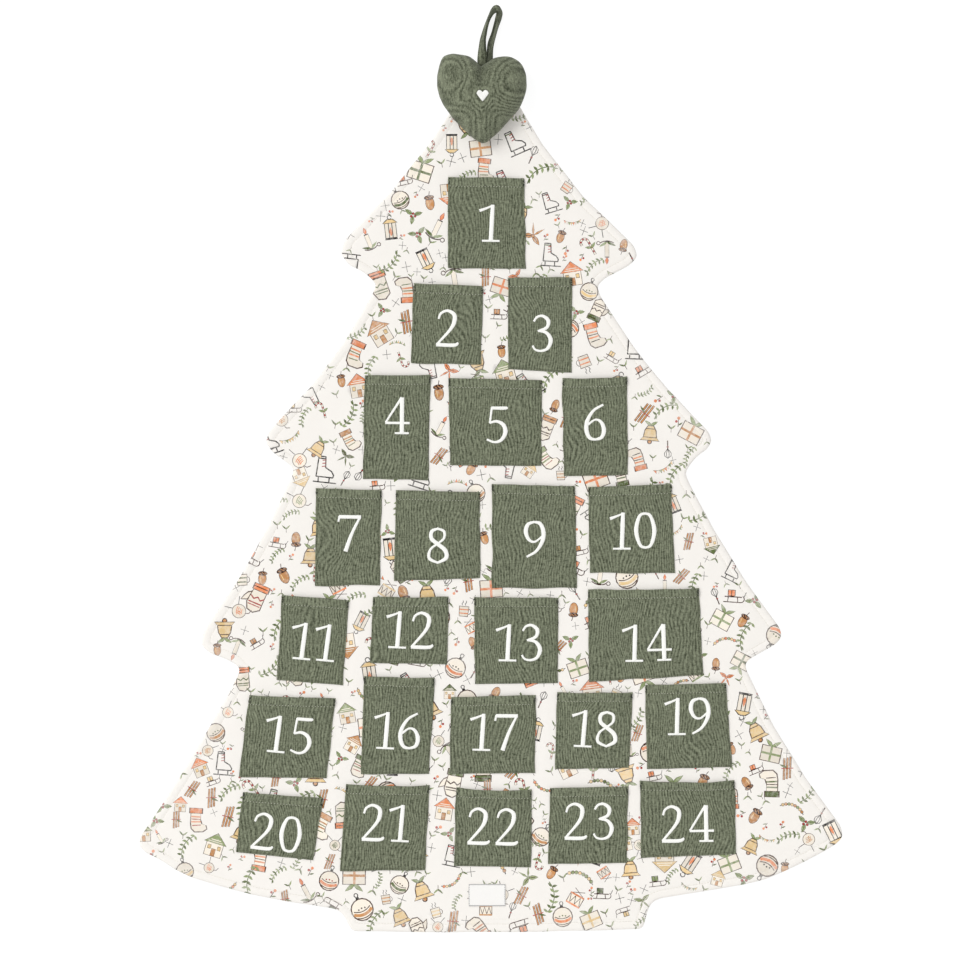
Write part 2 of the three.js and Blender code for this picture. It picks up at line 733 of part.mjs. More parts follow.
addTree();
addPockets();
addHeart();
addLoop();

export default calendar;
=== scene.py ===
# %% [markdown]
# # A cloth advent calendar that hangs on a wall
#
# The real thing is sewn from cotton canvas: two tree-shaped cloths over thin wadding,
# twenty-four green patch pockets with embroidered numbers, a stuffed heart and a loop of
# folded tape. The CAD model fixes where every piece is and how big it is. Here each piece
# gets its cloth, its print, its threads and the soft shape that sewing gives it.

# %% Load the frame
import math
import random

import bpy
import numpy as np
from mathutils import Matrix, Vector, geometry, kdtree, noise
from mathutils.bvhtree import BVHTree


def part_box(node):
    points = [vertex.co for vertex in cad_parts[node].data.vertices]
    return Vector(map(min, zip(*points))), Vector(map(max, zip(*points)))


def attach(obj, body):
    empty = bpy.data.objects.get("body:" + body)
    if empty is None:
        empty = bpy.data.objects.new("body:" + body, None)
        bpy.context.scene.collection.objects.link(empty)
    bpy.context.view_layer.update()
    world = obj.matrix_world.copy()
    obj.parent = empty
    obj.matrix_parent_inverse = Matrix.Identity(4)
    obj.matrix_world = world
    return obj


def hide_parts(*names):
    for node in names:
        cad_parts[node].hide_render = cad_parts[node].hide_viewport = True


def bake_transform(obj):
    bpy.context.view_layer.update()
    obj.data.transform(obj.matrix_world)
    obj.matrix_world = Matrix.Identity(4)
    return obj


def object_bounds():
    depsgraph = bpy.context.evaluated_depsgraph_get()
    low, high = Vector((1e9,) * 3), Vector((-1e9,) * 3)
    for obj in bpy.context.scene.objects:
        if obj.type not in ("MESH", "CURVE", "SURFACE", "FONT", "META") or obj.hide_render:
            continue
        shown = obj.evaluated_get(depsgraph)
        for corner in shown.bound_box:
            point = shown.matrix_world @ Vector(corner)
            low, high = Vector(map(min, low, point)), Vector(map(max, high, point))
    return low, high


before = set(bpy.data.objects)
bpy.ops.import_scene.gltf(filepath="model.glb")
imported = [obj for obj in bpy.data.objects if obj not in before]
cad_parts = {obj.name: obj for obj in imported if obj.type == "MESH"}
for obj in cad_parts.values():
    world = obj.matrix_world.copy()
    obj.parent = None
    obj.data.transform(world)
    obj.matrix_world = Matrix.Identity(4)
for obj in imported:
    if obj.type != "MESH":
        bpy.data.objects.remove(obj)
bpy.context.view_layer.update()
cad_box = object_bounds()
mm = 0.001
print("CAD box in mm:", [[round(v / mm, 1) for v in corner] for corner in cad_box])

# %% [markdown]
# ## The camera
#
# The photograph looks square on from far away, so a long lens from some metres off gives
# the same view with hardly any perspective. One pixel covers 1.08 mm of cloth and the
# hook's seat is the origin, and from these two a pixel of the photograph becomes a place.

# %% Camera
photo_pixels = 980
hook_pixel = (496.5, 6.5)
mm_per_pixel = 1.08
camera_distance = 20000
sensor_width = 36


def from_pixel(column, row):
    """A pixel of the photograph as a place on the cloth, across and up from the hook."""
    return (column - hook_pixel[0]) * mm_per_pixel, (hook_pixel[1] - row) * mm_per_pixel


view_x, view_z = from_pixel(photo_pixels / 2, photo_pixels / 2)
camera = bpy.data.objects.new("camera", bpy.data.cameras.new("camera"))
bpy.context.scene.collection.objects.link(camera)
camera.data.sensor_width = sensor_width
camera.data.lens = sensor_width * camera_distance / (photo_pixels * mm_per_pixel)
camera.data.clip_end = 50
camera.location = Vector((view_x, -camera_distance, view_z)) * mm
camera.rotation_euler = (math.radians(90), 0, 0)
bpy.context.scene.camera = camera
bpy.context.scene.view_settings.view_transform = "Standard"
print("lens:", round(camera.data.lens), "mm")

# %% [markdown]
# ## Nodes in short
#
# Materials are trees of nodes. Small helpers keep them readable: they set or link sockets,
# do arithmetic, mix colours and make groups with named sockets. Colours are written as they
# look on a screen, from 0 to 255, and turned into linear light.


# %% Node helpers
def linear(red, green, blue):
    """A screen colour from 0 to 255 as linear light, with full alpha."""
    parts = [value / 255 for value in (red, green, blue)]
    return tuple(p / 12.92 if p <= 0.04045 else ((p + 0.055) / 1.055) ** 2.4 for p in parts) + (1.0,)


def feed(tree, socket, value):
    """Gives an input a value, or links it to another socket."""
    if isinstance(value, bpy.types.NodeSocket):
        tree.links.new(value, socket)
    else:
        socket.default_value = value


def add_node(tree, kind, settings=None, **inputs):
    """A new node. Inputs are named with underscores for spaces, and are values or sockets."""
    node = tree.nodes.new(kind)
    for name, value in (settings or {}).items():
        setattr(node, name, value)
    for name, value in inputs.items():
        feed(tree, node.inputs[name.replace("_", " ")], value)
    return node


def maths(tree, operation, *values):
    """The result of one arithmetic step on values or sockets."""
    node = tree.nodes.new("ShaderNodeMath")
    node.operation = operation
    for socket, value in zip(node.inputs, values):
        feed(tree, socket, value)
    return node.outputs[0]


def mixed_colour(tree, share, first, second):
    """A colour between two others."""
    node = tree.nodes.new("ShaderNodeMix")
    node.data_type = "RGBA"
    colour_inputs = [s for s in node.inputs if s.type == "RGBA"]
    for socket, value in zip([node.inputs[0], *colour_inputs], (share, first, second)):
        feed(tree, socket, value)
    return next(s for s in node.outputs if s.type == "RGBA")


def new_group(name, inputs, outputs):
    """A shader group with float inputs (name: value), a Vector input and named outputs."""
    tree = bpy.data.node_groups.new(name, "ShaderNodeTree")
    tree.interface.new_socket("Vector", in_out="INPUT", socket_type="NodeSocketVector")
    for label, value in inputs.items():
        socket = tree.interface.new_socket(label, in_out="INPUT", socket_type="NodeSocketFloat")
        socket.default_value = value
    for label in outputs:
        tree.interface.new_socket(label, in_out="OUTPUT", socket_type="NodeSocketFloat")
    return tree, tree.nodes.new("NodeGroupInput").outputs, tree.nodes.new("NodeGroupOutput").inputs


def use_group(tree, group, **inputs):
    """A group placed in a material."""
    return add_node(tree, "ShaderNodeGroup", {"node_tree": group}, **inputs).outputs


def new_material(name):
    """An empty node material and its tree."""
    material = bpy.data.materials.new(name)
    material.use_nodes = True
    material.node_tree.nodes.clear()
    return material, material.node_tree


# %% [markdown]
# ## Wall, floor and light
#
# The calendar hangs just off a white wall. For the camera the wall is part lamp and part
# paint: the lamp part keeps it white and the paint part holds the faint soft shadow. For
# the light that it throws back it is one even glow, which reaches the tree's back too.
# From behind, the wall lets everything through, so the back can be seen. A white world
# gives most of the light, and one large soft lamp from the upper left models the relief.

# %% Wall, floor and light
wall_gap = 1.0
floor_drop = 1062
stage_half = 2600
wall_glow = 0.8
wall_lamp = 1.1
wall_bounce = 0.88
fill_light = 0.59
key_power = 760
key_size = 6
key_place = (-7.0, -8.4, 4.97)


def looked_at(tree):
    """1 where a ray comes from the camera, a mirror or glass."""
    path = tree.nodes.new("ShaderNodeLightPath").outputs
    either = maths(tree, "MAXIMUM", path["Is Camera Ray"], path["Is Glossy Ray"])
    return maths(tree, "MAXIMUM", either, path["Is Transmission Ray"])


def mixed_shader(tree, share, first, second):
    """A shader node between two others."""
    node = add_node(tree, "ShaderNodeMixShader", Fac=share)
    tree.links.new(first.outputs[0], node.inputs[1])
    tree.links.new(second.outputs[0], node.inputs[2])
    return node


def stage_material():
    material, tree = new_material("white_wall")
    paint = add_node(tree, "ShaderNodeBsdfDiffuse", Color=linear(250, 250, 250))
    lamp = add_node(tree, "ShaderNodeEmission", Strength=wall_lamp)
    bounce = add_node(tree, "ShaderNodeEmission", Strength=wall_bounce)
    wall = mixed_shader(tree, wall_glow, paint, lamp)
    front = mixed_shader(tree, looked_at(tree), bounce, wall)
    behind = tree.nodes.new("ShaderNodeNewGeometry").outputs["Backfacing"]
    either = mixed_shader(tree, behind, front, tree.nodes.new("ShaderNodeBsdfTransparent"))
    tree.links.new(either.outputs[0], tree.nodes.new("ShaderNodeOutputMaterial").inputs["Surface"])
    return material


def stage_sheet(name, near, far, material):
    """A sheet between two level edges, each given by its y and z."""
    corners = [(-stage_half, *near), (stage_half, *near), (stage_half, *far), (-stage_half, *far)]
    mesh = bpy.data.meshes.new(name)
    mesh.from_pydata([Vector(corner) * mm for corner in corners], [], [(0, 1, 2, 3)])
    mesh.materials.append(material)
    sheet = bpy.data.objects.new(name, mesh)
    bpy.context.scene.collection.objects.link(sheet)


white_wall = stage_material()
wall_y = cad_box[1].y / mm + wall_gap
stage_sheet("wall", (wall_y, -floor_drop), (wall_y, stage_half), white_wall)
stage_sheet("floor", (-stage_half, -floor_drop), (wall_y, -floor_drop), white_wall)

world = bpy.data.worlds.new("white_room")
world.use_nodes = True
world.node_tree.nodes.clear()
white = (1, 1, 1, 1)
room = add_node(world.node_tree, "ShaderNodeBackground", Color=white, Strength=fill_light)
seen = add_node(world.node_tree, "ShaderNodeBackground", Color=white, Strength=1.0)
either = mixed_shader(world.node_tree, looked_at(world.node_tree), room, seen)
world_output = world.node_tree.nodes.new("ShaderNodeOutputWorld")
world.node_tree.links.new(either.outputs[0], world_output.inputs["Surface"])
bpy.context.scene.world = world

key = bpy.data.objects.new("key_lamp", bpy.data.lights.new("key_lamp", "AREA"))
key.data.energy = key_power
key.data.size = key_size
key.location = key_place
key.rotation_euler = (Vector((0, 0, view_z * mm)) - key.location).to_track_quat("-Z", "Y").to_euler()
bpy.context.scene.collection.objects.link(key)
print("wall", round(wall_y, 1), "mm behind the hook")

# %% [markdown]
# ## Weave, streaks and fibres
#
# Every cloth here is a plain weave, so its relief is one group: warp threads and weft
# threads take turns on top. The green cloth is woven from threads of several greens. From
# a step away these make wavy streaks that close into rings here and there. A plain wave
# bent by soft noise does the same, and a second group gives it. A third one gives the fine
# lengthwise fibres of threads and the slubs of canvas.


# %% Shader groups for cloth
def noise_at(tree, place, scale, detail, **others):
    """Soft noise from 0 to 1, with its scale in waves to a metre."""
    node = add_node(tree, "ShaderNodeTexNoise", Vector=place, Scale=scale, Detail=detail, **others)
    return node.outputs[0]


def parts_of(tree, vector):
    split = add_node(tree, "ShaderNodeSeparateXYZ", Vector=vector).outputs
    return split["X"], split["Y"], split["Z"]


def wave(tree, place, pitch):
    """A sine of a place, one turn for every two pitches."""
    turns = maths(tree, "DIVIDE", place, pitch)
    return maths(tree, "SINE", maths(tree, "MULTIPLY", turns, math.pi))


def weave_group():
    tree, given, out = new_group("plain_weave", {"Thread pitch": 0.9 * mm}, ["Height", "Shade"])
    x, y, z = parts_of(tree, given["Vector"])
    across = wave(tree, x, given["Thread pitch"])
    up = wave(tree, maths(tree, "ADD", z, y), given["Thread pitch"])
    turn = maths(tree, "MULTIPLY", maths(tree, "MULTIPLY", across, up), 3.0)
    over = maths(tree, "MULTIPLY_ADD", turn, 0.5, 0.5)
    warp_on_top = add_node(tree, "ShaderNodeClamp", Value=over).outputs[0]
    warp = maths(tree, "ABSOLUTE", across)
    weft = maths(tree, "ABSOLUTE", up)
    share = maths(tree, "MULTIPLY", warp_on_top, warp)
    rest = maths(tree, "MULTIPLY", maths(tree, "SUBTRACT", 1.0, warp_on_top), weft)
    height = maths(tree, "ADD", share, rest)
    tree.links.new(height, out["Height"])
    slub = noise_at(tree, given["Vector"], 900.0, 2.0)
    shade = maths(tree, "MULTIPLY_ADD", slub, 0.5, maths(tree, "MULTIPLY", height, 0.5))
    tree.links.new(shade, out["Shade"])
    return tree


def streak_group():
    inputs = {"Streak spacing": 4.5 * mm, "Bends": 5.0, "Seed": 0.0, "Turns": 0.0}
    tree, given, out = new_group("melange_streaks", inputs, ["Streak"])
    x, _, z = parts_of(tree, given["Vector"])
    seed = maths(tree, "MULTIPLY", given["Seed"], 0.37)
    place = add_node(tree, "ShaderNodeCombineXYZ", X=maths(tree, "ADD", x, seed), Y=seed, Z=z).outputs[0]
    hills = noise_at(tree, place, 22.0, 0.4)
    ripples = noise_at(tree, place, 110.0, 1.0)
    bent = maths(tree, "MULTIPLY", hills, maths(tree, "MULTIPLY", given["Bends"], 2.0))
    bent = maths(tree, "MULTIPLY_ADD", ripples, 0.7, bent)
    turns = maths(tree, "ADD", maths(tree, "DIVIDE", x, given["Streak spacing"]), bent)
    turns = maths(tree, "ADD", turns, given["Turns"])
    streak = maths(tree, "SINE", maths(tree, "MULTIPLY", turns, 2 * math.pi))
    breaks = noise_at(tree, place, 150.0, 1.0)
    strength = maths(tree, "MULTIPLY_ADD", breaks, 1.5, -0.1)
    broken = maths(tree, "MULTIPLY", streak, strength)
    tree.links.new(maths(tree, "MULTIPLY_ADD", broken, 0.5, 0.5), out["Streak"])
    return tree


def fibre_group():
    tree, given, out = new_group("fibres", {"Fibre width": 0.4 * mm, "Length": 12.0}, ["Fibre"])
    x, y, z = parts_of(tree, given["Vector"])
    along = maths(tree, "DIVIDE", z, given["Length"])
    place = add_node(tree, "ShaderNodeCombineXYZ", X=x, Y=y, Z=along).outputs[0]
    scale = maths(tree, "DIVIDE", 1.0, given["Fibre width"])
    threads = noise_at(tree, place, scale, 1.0)
    tree.links.new(threads, out["Fibre"])
    return tree


weave = weave_group()
streaks = streak_group()
fibres = fibre_group()
print("groups:", [group.name for group in (weave, streaks, fibres)])

# %% [markdown]
# ## The finishes
#
# Each finish is one Principled shader fed by the groups: the colour varies over the cloth,
# the weave drives a fine bump, and sheen gives the soft edge of cotton. The print reads a
# colour stored on the cloth's own mesh, where alpha says how much ink lies there, and the
# ink is mottled as water colour is. The green cloths read two stored numbers: one turns
# their streaks, and one shifts streaks and tone, up on a hem and down inside the loop,
# where the darkening is painted shade.


# %% Finishes
def finish_surface(tree, colour, height, bump, roughness, sheen):
    """The shader, with a bump of that depth, and the output."""
    relief = add_node(tree, "ShaderNodeBump", Height=height, Strength=1.0, Distance=bump)
    shader = add_node(
        tree, "ShaderNodeBsdfPrincipled", Base_Color=colour, Roughness=roughness,
        Normal=relief.outputs[0], Sheen_Weight=sheen, Sheen_Roughness=0.5, Specular_IOR_Level=0.25,
    )
    output = tree.nodes.new("ShaderNodeOutputMaterial")
    tree.links.new(shader.outputs[0], output.inputs["Surface"])


def stored(tree, name):
    """The outputs that read what a mesh keeps under that name."""
    return add_node(tree, "ShaderNodeAttribute", {"attribute_name": name}).outputs


def own_place(tree):
    return tree.nodes.new("ShaderNodeTexCoord").outputs["Object"]


# The stored hem value lightens a pocket's hem a little; on the tape its value far below zero is painted
# shade.
hem_shift = 1.7
hem_and_painted_shade_tone = 0.07


def green_cloth(name, seed, thread_pitch=0.9, bends=3.4, spacing=3.3):
    """Melange canvas. The stored hem shifts streaks and tone, and below zero it is painted shade. Turns
    bend streaks.
    """
    material, tree = new_material(name)
    place = own_place(tree)
    hem = stored(tree, "hem")["Fac"]
    turns = stored(tree, "turns")["Fac"]
    streak = use_group(
        tree, streaks, Vector=place, Streak_spacing=spacing * mm, Bends=bends,
        Seed=maths(tree, "MULTIPLY_ADD", hem, hem_shift, seed), Turns=turns,
    )["Streak"]
    quarter = {"rotation_type": "Y_AXIS"}
    lying = add_node(tree, "ShaderNodeVectorRotate", quarter, Vector=place, Angle=math.pi / 2)
    warp = use_group(tree, fibres, Vector=place, Fibre_width=1.1 * mm, Length=3.5)["Fibre"]
    weft = use_group(tree, fibres, Vector=lying.outputs[0], Fibre_width=1.1 * mm, Length=3.0)["Fibre"]
    cloth = use_group(tree, weave, Vector=place, Thread_pitch=thread_pitch * mm)
    slubs = maths(tree, "MULTIPLY_ADD", weft, 0.8, maths(tree, "MULTIPLY_ADD", warp, 1.35, -1.075))
    tone = maths(tree, "MULTIPLY_ADD", maths(tree, "SUBTRACT", streak, 0.5), 0.62, 0.5)
    tone = maths(tree, "MULTIPLY_ADD", slubs, 1.05, tone)
    tone = maths(tree, "MULTIPLY_ADD", maths(tree, "SUBTRACT", cloth["Shade"], 0.55), 0.5, tone)
    tone = maths(tree, "MULTIPLY_ADD", hem, hem_and_painted_shade_tone, tone)
    clamped = add_node(tree, "ShaderNodeClamp", Value=tone).outputs[0]
    colour = mixed_colour(tree, clamped, linear(60, 65, 48), linear(140, 146, 122))
    finish_surface(tree, colour, cloth["Height"], 0.12 * mm, 0.92, 0.12)
    return material


def printed_cloth():
    material, tree = new_material("printed_canvas")
    place = own_place(tree)
    cloth = use_group(tree, weave, Vector=place, Thread_pitch=0.8 * mm)
    ground = mixed_colour(tree, cloth["Shade"], linear(245, 241, 234), linear(252, 248, 243))
    ink = stored(tree, "print")
    wash = noise_at(tree, place, 240.0, 3.0, Roughness=0.7)
    pale = maths(tree, "MULTIPLY_ADD", wash, -1.5, 1.72)
    cover = add_node(tree, "ShaderNodeClamp", Value=maths(tree, "MULTIPLY", ink["Alpha"], pale)).outputs[0]
    colour = mixed_colour(tree, cover, ground, ink["Color"])
    finish_surface(tree, colour, cloth["Height"], 0.1 * mm, 0.93, 0.08)
    return material


def plain_cloth():
    material, tree = new_material("plain_canvas")
    place = own_place(tree)
    cloth = use_group(tree, weave, Vector=place, Thread_pitch=0.8 * mm)
    slubs = use_group(tree, fibres, Vector=place, Fibre_width=1.2 * mm, Length=14.0)["Fibre"]
    tone = maths(tree, "MULTIPLY_ADD", slubs, 0.6, maths(tree, "MULTIPLY", cloth["Shade"], 0.4))
    colour = mixed_colour(tree, tone, linear(238, 232, 220), linear(252, 248, 240))
    finish_surface(tree, colour, cloth["Height"], 0.1 * mm, 0.93, 0.08)
    return material


def thread_finish(name, dark, light, roughness, sheen):
    material, tree = new_material(name)
    fibre = use_group(tree, fibres, Vector=own_place(tree), Fibre_width=0.25 * mm, Length=1.0)["Fibre"]
    colour = mixed_colour(tree, fibre, linear(*dark), linear(*light))
    finish_surface(tree, colour, fibre, 0.04 * mm, roughness, sheen)
    return material


def fibre_fill():
    material, tree = new_material("wadding")
    place = own_place(tree)
    lint = noise_at(tree, place, 400.0, 5.0, Distortion=1.5)
    colour = mixed_colour(tree, lint, linear(226, 226, 222), linear(252, 252, 250))
    finish_surface(tree, colour, lint, 0.5 * mm, 1.0, 0.2)
    return material


def label_tape():
    material, tree = new_material("label_tape")
    place = own_place(tree)
    cloth = use_group(tree, weave, Vector=place, Thread_pitch=0.3 * mm)
    ground = mixed_colour(tree, cloth["Shade"], linear(243, 241, 237), linear(254, 252, 249))
    ink = stored(tree, "print")
    colour = mixed_colour(tree, ink["Alpha"], ground, ink["Color"])
    finish_surface(tree, colour, cloth["Height"], 0.05 * mm, 0.6, 0.1)
    return material


printed_canvas = printed_cloth()
plain_canvas = plain_cloth()
white_thread = thread_finish("white_thread", (246, 246, 240), (255, 255, 252), 0.55, 0.25)
seam_thread = thread_finish("seam_thread", (226, 222, 212), (246, 243, 235), 0.7, 0.1)
green_thread = thread_finish("green_thread", (66, 70, 52), (104, 108, 88), 0.7, 0.1)
hem_thread = thread_finish("hem_thread", (166, 168, 148), (208, 210, 192), 0.6, 0.2)
# Dark thread: on the pocket tufts it is partly painted shade, and on the tape's rows it is painted shade.
dark_thread_painted_shade = thread_finish("dark_thread_painted_shade", (34, 36, 28), (62, 66, 52), 0.7, 0.1)
wadding_finish = fibre_fill()
label_finish = label_tape()
print("finishes made")

# %% [markdown]
# ## Building a piece
#
# Meshes are made from arrays of points in millimetres. A closed sheet of cloth is two
# grids, an outer and an inner one, joined round the rim. A helper makes the object, gives
# it its finish, and says on which CAD body it rides and which CAD solids it stands for.


# %% Piece helpers
def new_piece(name, points, faces, finish, place=None):
    """A smooth-shaded mesh object from points in mm, placed by a matrix in metres."""
    mesh = bpy.data.meshes.new(name)
    mesh.from_pydata((np.asarray(points, float) * mm).tolist(), [], [tuple(map(int, f)) for f in faces])
    mesh.materials.append(finish)
    mesh.shade_smooth()
    piece = bpy.data.objects.new(name, mesh)
    bpy.context.scene.collection.objects.link(piece)
    if place is not None:
        piece.matrix_world = place
    return piece


def carried_by(piece, body, slot, *nodes):
    """The piece rides on a body and stands for CAD solids, which it hides. The slot is not used."""
    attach(piece, body)
    if nodes:
        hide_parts(*nodes)
    return piece


def box_mm(node):
    """The low and the high corner of a CAD solid's box, in mm."""
    return [np.array(corner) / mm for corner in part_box(node)]


def closed_sheet_faces(rows, columns):
    """Faces of two grids of points, outer first, joined along all four sides."""
    outer = np.arange(rows * columns).reshape(rows, columns)
    inner = outer + rows * columns
    faces = []
    for r in range(rows - 1):
        for c in range(columns - 1):
            faces.append((outer[r, c], outer[r, c + 1], outer[r + 1, c + 1], outer[r + 1, c]))
            faces.append((inner[r, c], inner[r + 1, c], inner[r + 1, c + 1], inner[r, c + 1]))
        faces.append((outer[r, 0], outer[r + 1, 0], inner[r + 1, 0], inner[r, 0]))
        faces.append((outer[r + 1, -1], outer[r, -1], inner[r, -1], inner[r + 1, -1]))
    for c in range(columns - 1):
        faces.append((outer[0, c + 1], outer[0, c], inner[0, c], inner[0, c + 1]))
        faces.append((outer[-1, c], outer[-1, c + 1], inner[-1, c + 1], inner[-1, c]))
    return faces


def soft_step(values):
    """0 to 1 with level ends, for values from 0 to 1."""
    t = np.clip(values, 0, 1)
    return t * t * (3 - 2 * t)


def ripple(points, size, seed):
    """Smooth noise from about -1 to 1 at flat points, with waves of that size."""
    return np.array([noise.noise(Vector((x / size, z / size, seed))) for x, z in points])


def bump_at(distance, width):
    """A bell of height 1."""
    return np.exp(-((distance / width) ** 2))


def hill(x, z, at, wide, high, rise):
    """A flat-topped hill of turns. The streaks run round it."""
    return rise * bump_at(((x - at[0]) / wide) ** 2 + ((z - at[1]) / high) ** 2, 1.0)


def store(piece, name, values):
    """Keeps a number for each point of a piece, which its finish reads by that name."""
    layer = piece.data.attributes.new(name, "FLOAT", "POINT")
    layer.data.foreach_set("value", values.astype(np.float32))


def bend_streaks(piece, course):
    """Stores the turns that a function of the piece's own x and z adds to its streaks."""
    x, _, z = np.array([vertex.co for vertex in piece.data.vertices]).T / mm
    store(piece, "turns", course(x, z))


print("helpers ready")

# %% [markdown]
# ## The tree's edge
#
# The outline comes from the CAD sheet itself: the edges that only one face of its flat
# front uses form the loop. It is resampled evenly and softened, as turned cloth is never
# quite sharp, and it wanders a little as hand-guided sewing does.

# %% Tree outline
edge_step = 2.5
edge_wander = 0.7


def flat_face_loop(node, depth):
    """The boundary of the flat face that a CAD solid has at that depth."""
    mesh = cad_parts[node].data
    directed = set()
    for face in mesh.polygons:
        corners = [mesh.vertices[i].co / mm for i in face.vertices]
        if all(abs(corner.y - depth) < 0.01 for corner in corners):
            keys = [(round(corner.x, 2), round(corner.z, 2)) for corner in corners]
            directed.update(zip(keys, keys[1:] + keys[:1]))
    following = {a: b for a, b in directed if (b, a) not in directed}
    loop = [next(iter(sorted(following)))]
    while following[loop[-1]] != loop[0]:
        loop.append(following[loop[-1]])
    return np.array(loop)


def turned_left(loop):
    """The loop, anticlockwise."""
    x, z = loop[:, 0], loop[:, 1]
    area = (x * np.roll(z, -1) - z * np.roll(x, -1)).sum() / 2
    return loop if area > 0 else loop[::-1]


def spaced(line, step, closed=False):
    """Points a step apart along a line or a closed loop."""
    whole = np.vstack([line, line[:1]]) if closed else np.asarray(line, float)
    along = np.concatenate([[0], np.cumsum(np.linalg.norm(np.diff(whole, axis=0), axis=1))])
    count = max(2, round(along[-1] / step))
    at = np.linspace(0, along[-1], count + (not closed), endpoint=not closed)
    return np.stack([np.interp(at, along, whole[:, k]) for k in range(whole.shape[1])], axis=1)


def outward(loop):
    """The unit normals of an anticlockwise loop, pointing out."""
    along = np.roll(loop, -1, axis=0) - np.roll(loop, 1, axis=0)
    along /= np.linalg.norm(along, axis=1)[:, None]
    return np.stack([along[:, 1], -along[:, 0]], axis=1)


cloth_face = -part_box("front_panel")[0].y / mm
seam_half = -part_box("front_panel")[1].y / mm
tree_edge = spaced(turned_left(flat_face_loop("front_panel", -cloth_face)), edge_step, closed=True)
for _ in range(3):
    tree_edge = tree_edge / 2 + (np.roll(tree_edge, 1, axis=0) + np.roll(tree_edge, -1, axis=0)) / 4
tree_edge += outward(tree_edge) * (edge_wander * ripple(tree_edge, 45, 3.0))[:, None]
print("tree edge:", len(tree_edge), "points,", round(len(tree_edge) * edge_step), "mm round")

# %% [markdown]
# Everything on the tree's cloth depends on how far it lies from the edge: the rolled rim,
# the row of topstitching and the puckers it pulls. A k-d tree finds the nearest point of
# the edge for each place, and the two short stretches beside it make the distance exact.

# %% Distance from the edge
edge_finder = kdtree.KDTree(len(tree_edge))
for index, (x, z) in enumerate(tree_edge):
    edge_finder.insert((x, z, 0), index)
edge_finder.balance()


def from_edge(points):
    """How far each point lies from the edge, and how far along the edge its foot is."""
    points = np.asarray(points, float)
    nearest = np.array([edge_finder.find((x, z, 0))[1] for x, z in points])
    best = np.full(len(points), np.inf)
    along = np.zeros(len(points))
    for first in (nearest - 1, nearest):
        start = tree_edge[first % len(tree_edge)]
        step = tree_edge[(first + 1) % len(tree_edge)] - start
        share = np.clip(((points - start) * step).sum(1) / (step * step).sum(1), 0, 1)
        away = np.linalg.norm(points - start - share[:, None] * step, axis=1)
        nearer = away < best
        along[nearer] = ((first + share) * edge_step)[nearer]
        best = np.minimum(best, away)
    return best, along


def inside_edge(points):
    """True for each point within the tree's outline."""
    points = np.asarray(points, float)
    inside = np.zeros(len(points), bool)
    for a, b in zip(tree_edge, np.roll(tree_edge, -1, axis=0)):
        crosses = (a[1] > points[:, 1]) != (b[1] > points[:, 1])
        if crosses.any():
            at = a[0] + (points[:, 1] - a[1]) * (b[0] - a[0]) / (b[1] - a[1] if b[1] != a[1] else 1)
            inside ^= crosses & (points[:, 0] < at)
    return inside


print("middle of the tree is", round(float(from_edge([(view_x, view_z)])[0][0])), "mm from its edge")

# %% [markdown]
# ## Where the pockets are
#
# Each CAD pocket gives its middle and its tilt. The real ones are cut and sewn by hand, so
# no two have square corners. The corners below were read off the photograph, in its pixels:
# top left, top right, bottom right and bottom left.

# %% Pocket places
pocket_corner_pixels = {
    1: ((448, 177), (524, 178), (526, 269), (448, 268)),
    2: ((413.5, 283), (483, 286), (481, 365), (411, 363)),
    3: ((508, 278), (572, 277), (572, 373), (508, 369)),
    4: ((364.5, 375.5), (431, 375), (428, 480), (363, 479)),
    5: ((448.5, 378), (542, 380), (541, 466), (450, 465)),
    6: ((562, 378), (627, 376.5), (628, 475), (564, 476)),
    7: ((316, 488), (382, 490), (380, 585), (315, 586)),
    8: ((396, 490), (480, 492), (480, 578), (394, 581)),
    9: ((492, 484), (575, 486), (577, 588), (492, 588)),
    10: ((588, 487), (671, 484), (675, 573), (590, 573)),
    11: ((282, 595), (349, 600), (343, 685), (277, 680)),
    12: ((373, 597), (449, 597), (447, 664), (370, 663)),
    13: ((474, 597), (558, 598), (558, 683), (475, 684)),
    14: ((588, 589.5), (699, 588), (703, 675), (589, 682)),
    15: ((249, 695), (335, 698), (327, 778), (239, 777)),
    16: ((364, 676), (435, 678), (429, 774), (361, 774)),
    17: ((451, 697), (536, 695), (535, 773), (449.5, 773.5)),
    18: ((557, 692), (633, 691.5), (629, 768), (555, 769)),
    19: ((645, 685), (726, 683), (732, 767), (647, 769)),
    20: ((243, 792), (323, 798), (313, 860), (236, 852)),
    21: ((346, 784), (430, 785), (425, 870), (340, 871)),
    22: ((456, 787), (532, 789), (531, 867), (454, 866)),
    23: ((550, 788), (628, 786), (627, 863), (548, 864)),
    24: ((640, 780.5), (734.5, 780), (736, 854), (641, 858)),
}
pocket_numbers = sorted(pocket_corner_pixels)


def cad_pocket(number):
    """The middle of a CAD pocket and how far it is turned."""
    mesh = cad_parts[f"pocket_{number:02d}"].data
    places = np.array([vertex.co for vertex in mesh.vertices]) / mm
    x, _, z = places.T
    bottom_left = places[np.argmin(x + z)]
    bottom_right = places[np.argmax(x - z)]
    top_right = places[np.argmax(x + z)]
    middle = (bottom_left + top_right) / 2
    tilt = math.atan2(bottom_right[2] - bottom_left[2], bottom_right[0] - bottom_left[0])
    return {"middle": middle[[0, 2]], "tilt": tilt}


def turned(points, angle):
    """Flat points turned anticlockwise about the origin."""
    c, s = math.cos(angle), math.sin(angle)
    points = np.asarray(points, float)
    return np.stack([points[:, 0] * c - points[:, 1] * s, points[:, 0] * s + points[:, 1] * c], axis=1)


pockets = {}
for number in pocket_numbers:
    pocket = cad_pocket(number)
    corners = np.array([from_pixel(*pixel) for pixel in pocket_corner_pixels[number]])
    pocket["corners"] = corners
    pocket["local"] = turned(corners - pocket["middle"], -pocket["tilt"])
    pockets[number] = pocket
widths = [p["local"][1][0] - p["local"][0][0] for p in pockets.values()]
print("pocket widths from", round(min(widths)), "to", round(max(widths)), "mm")

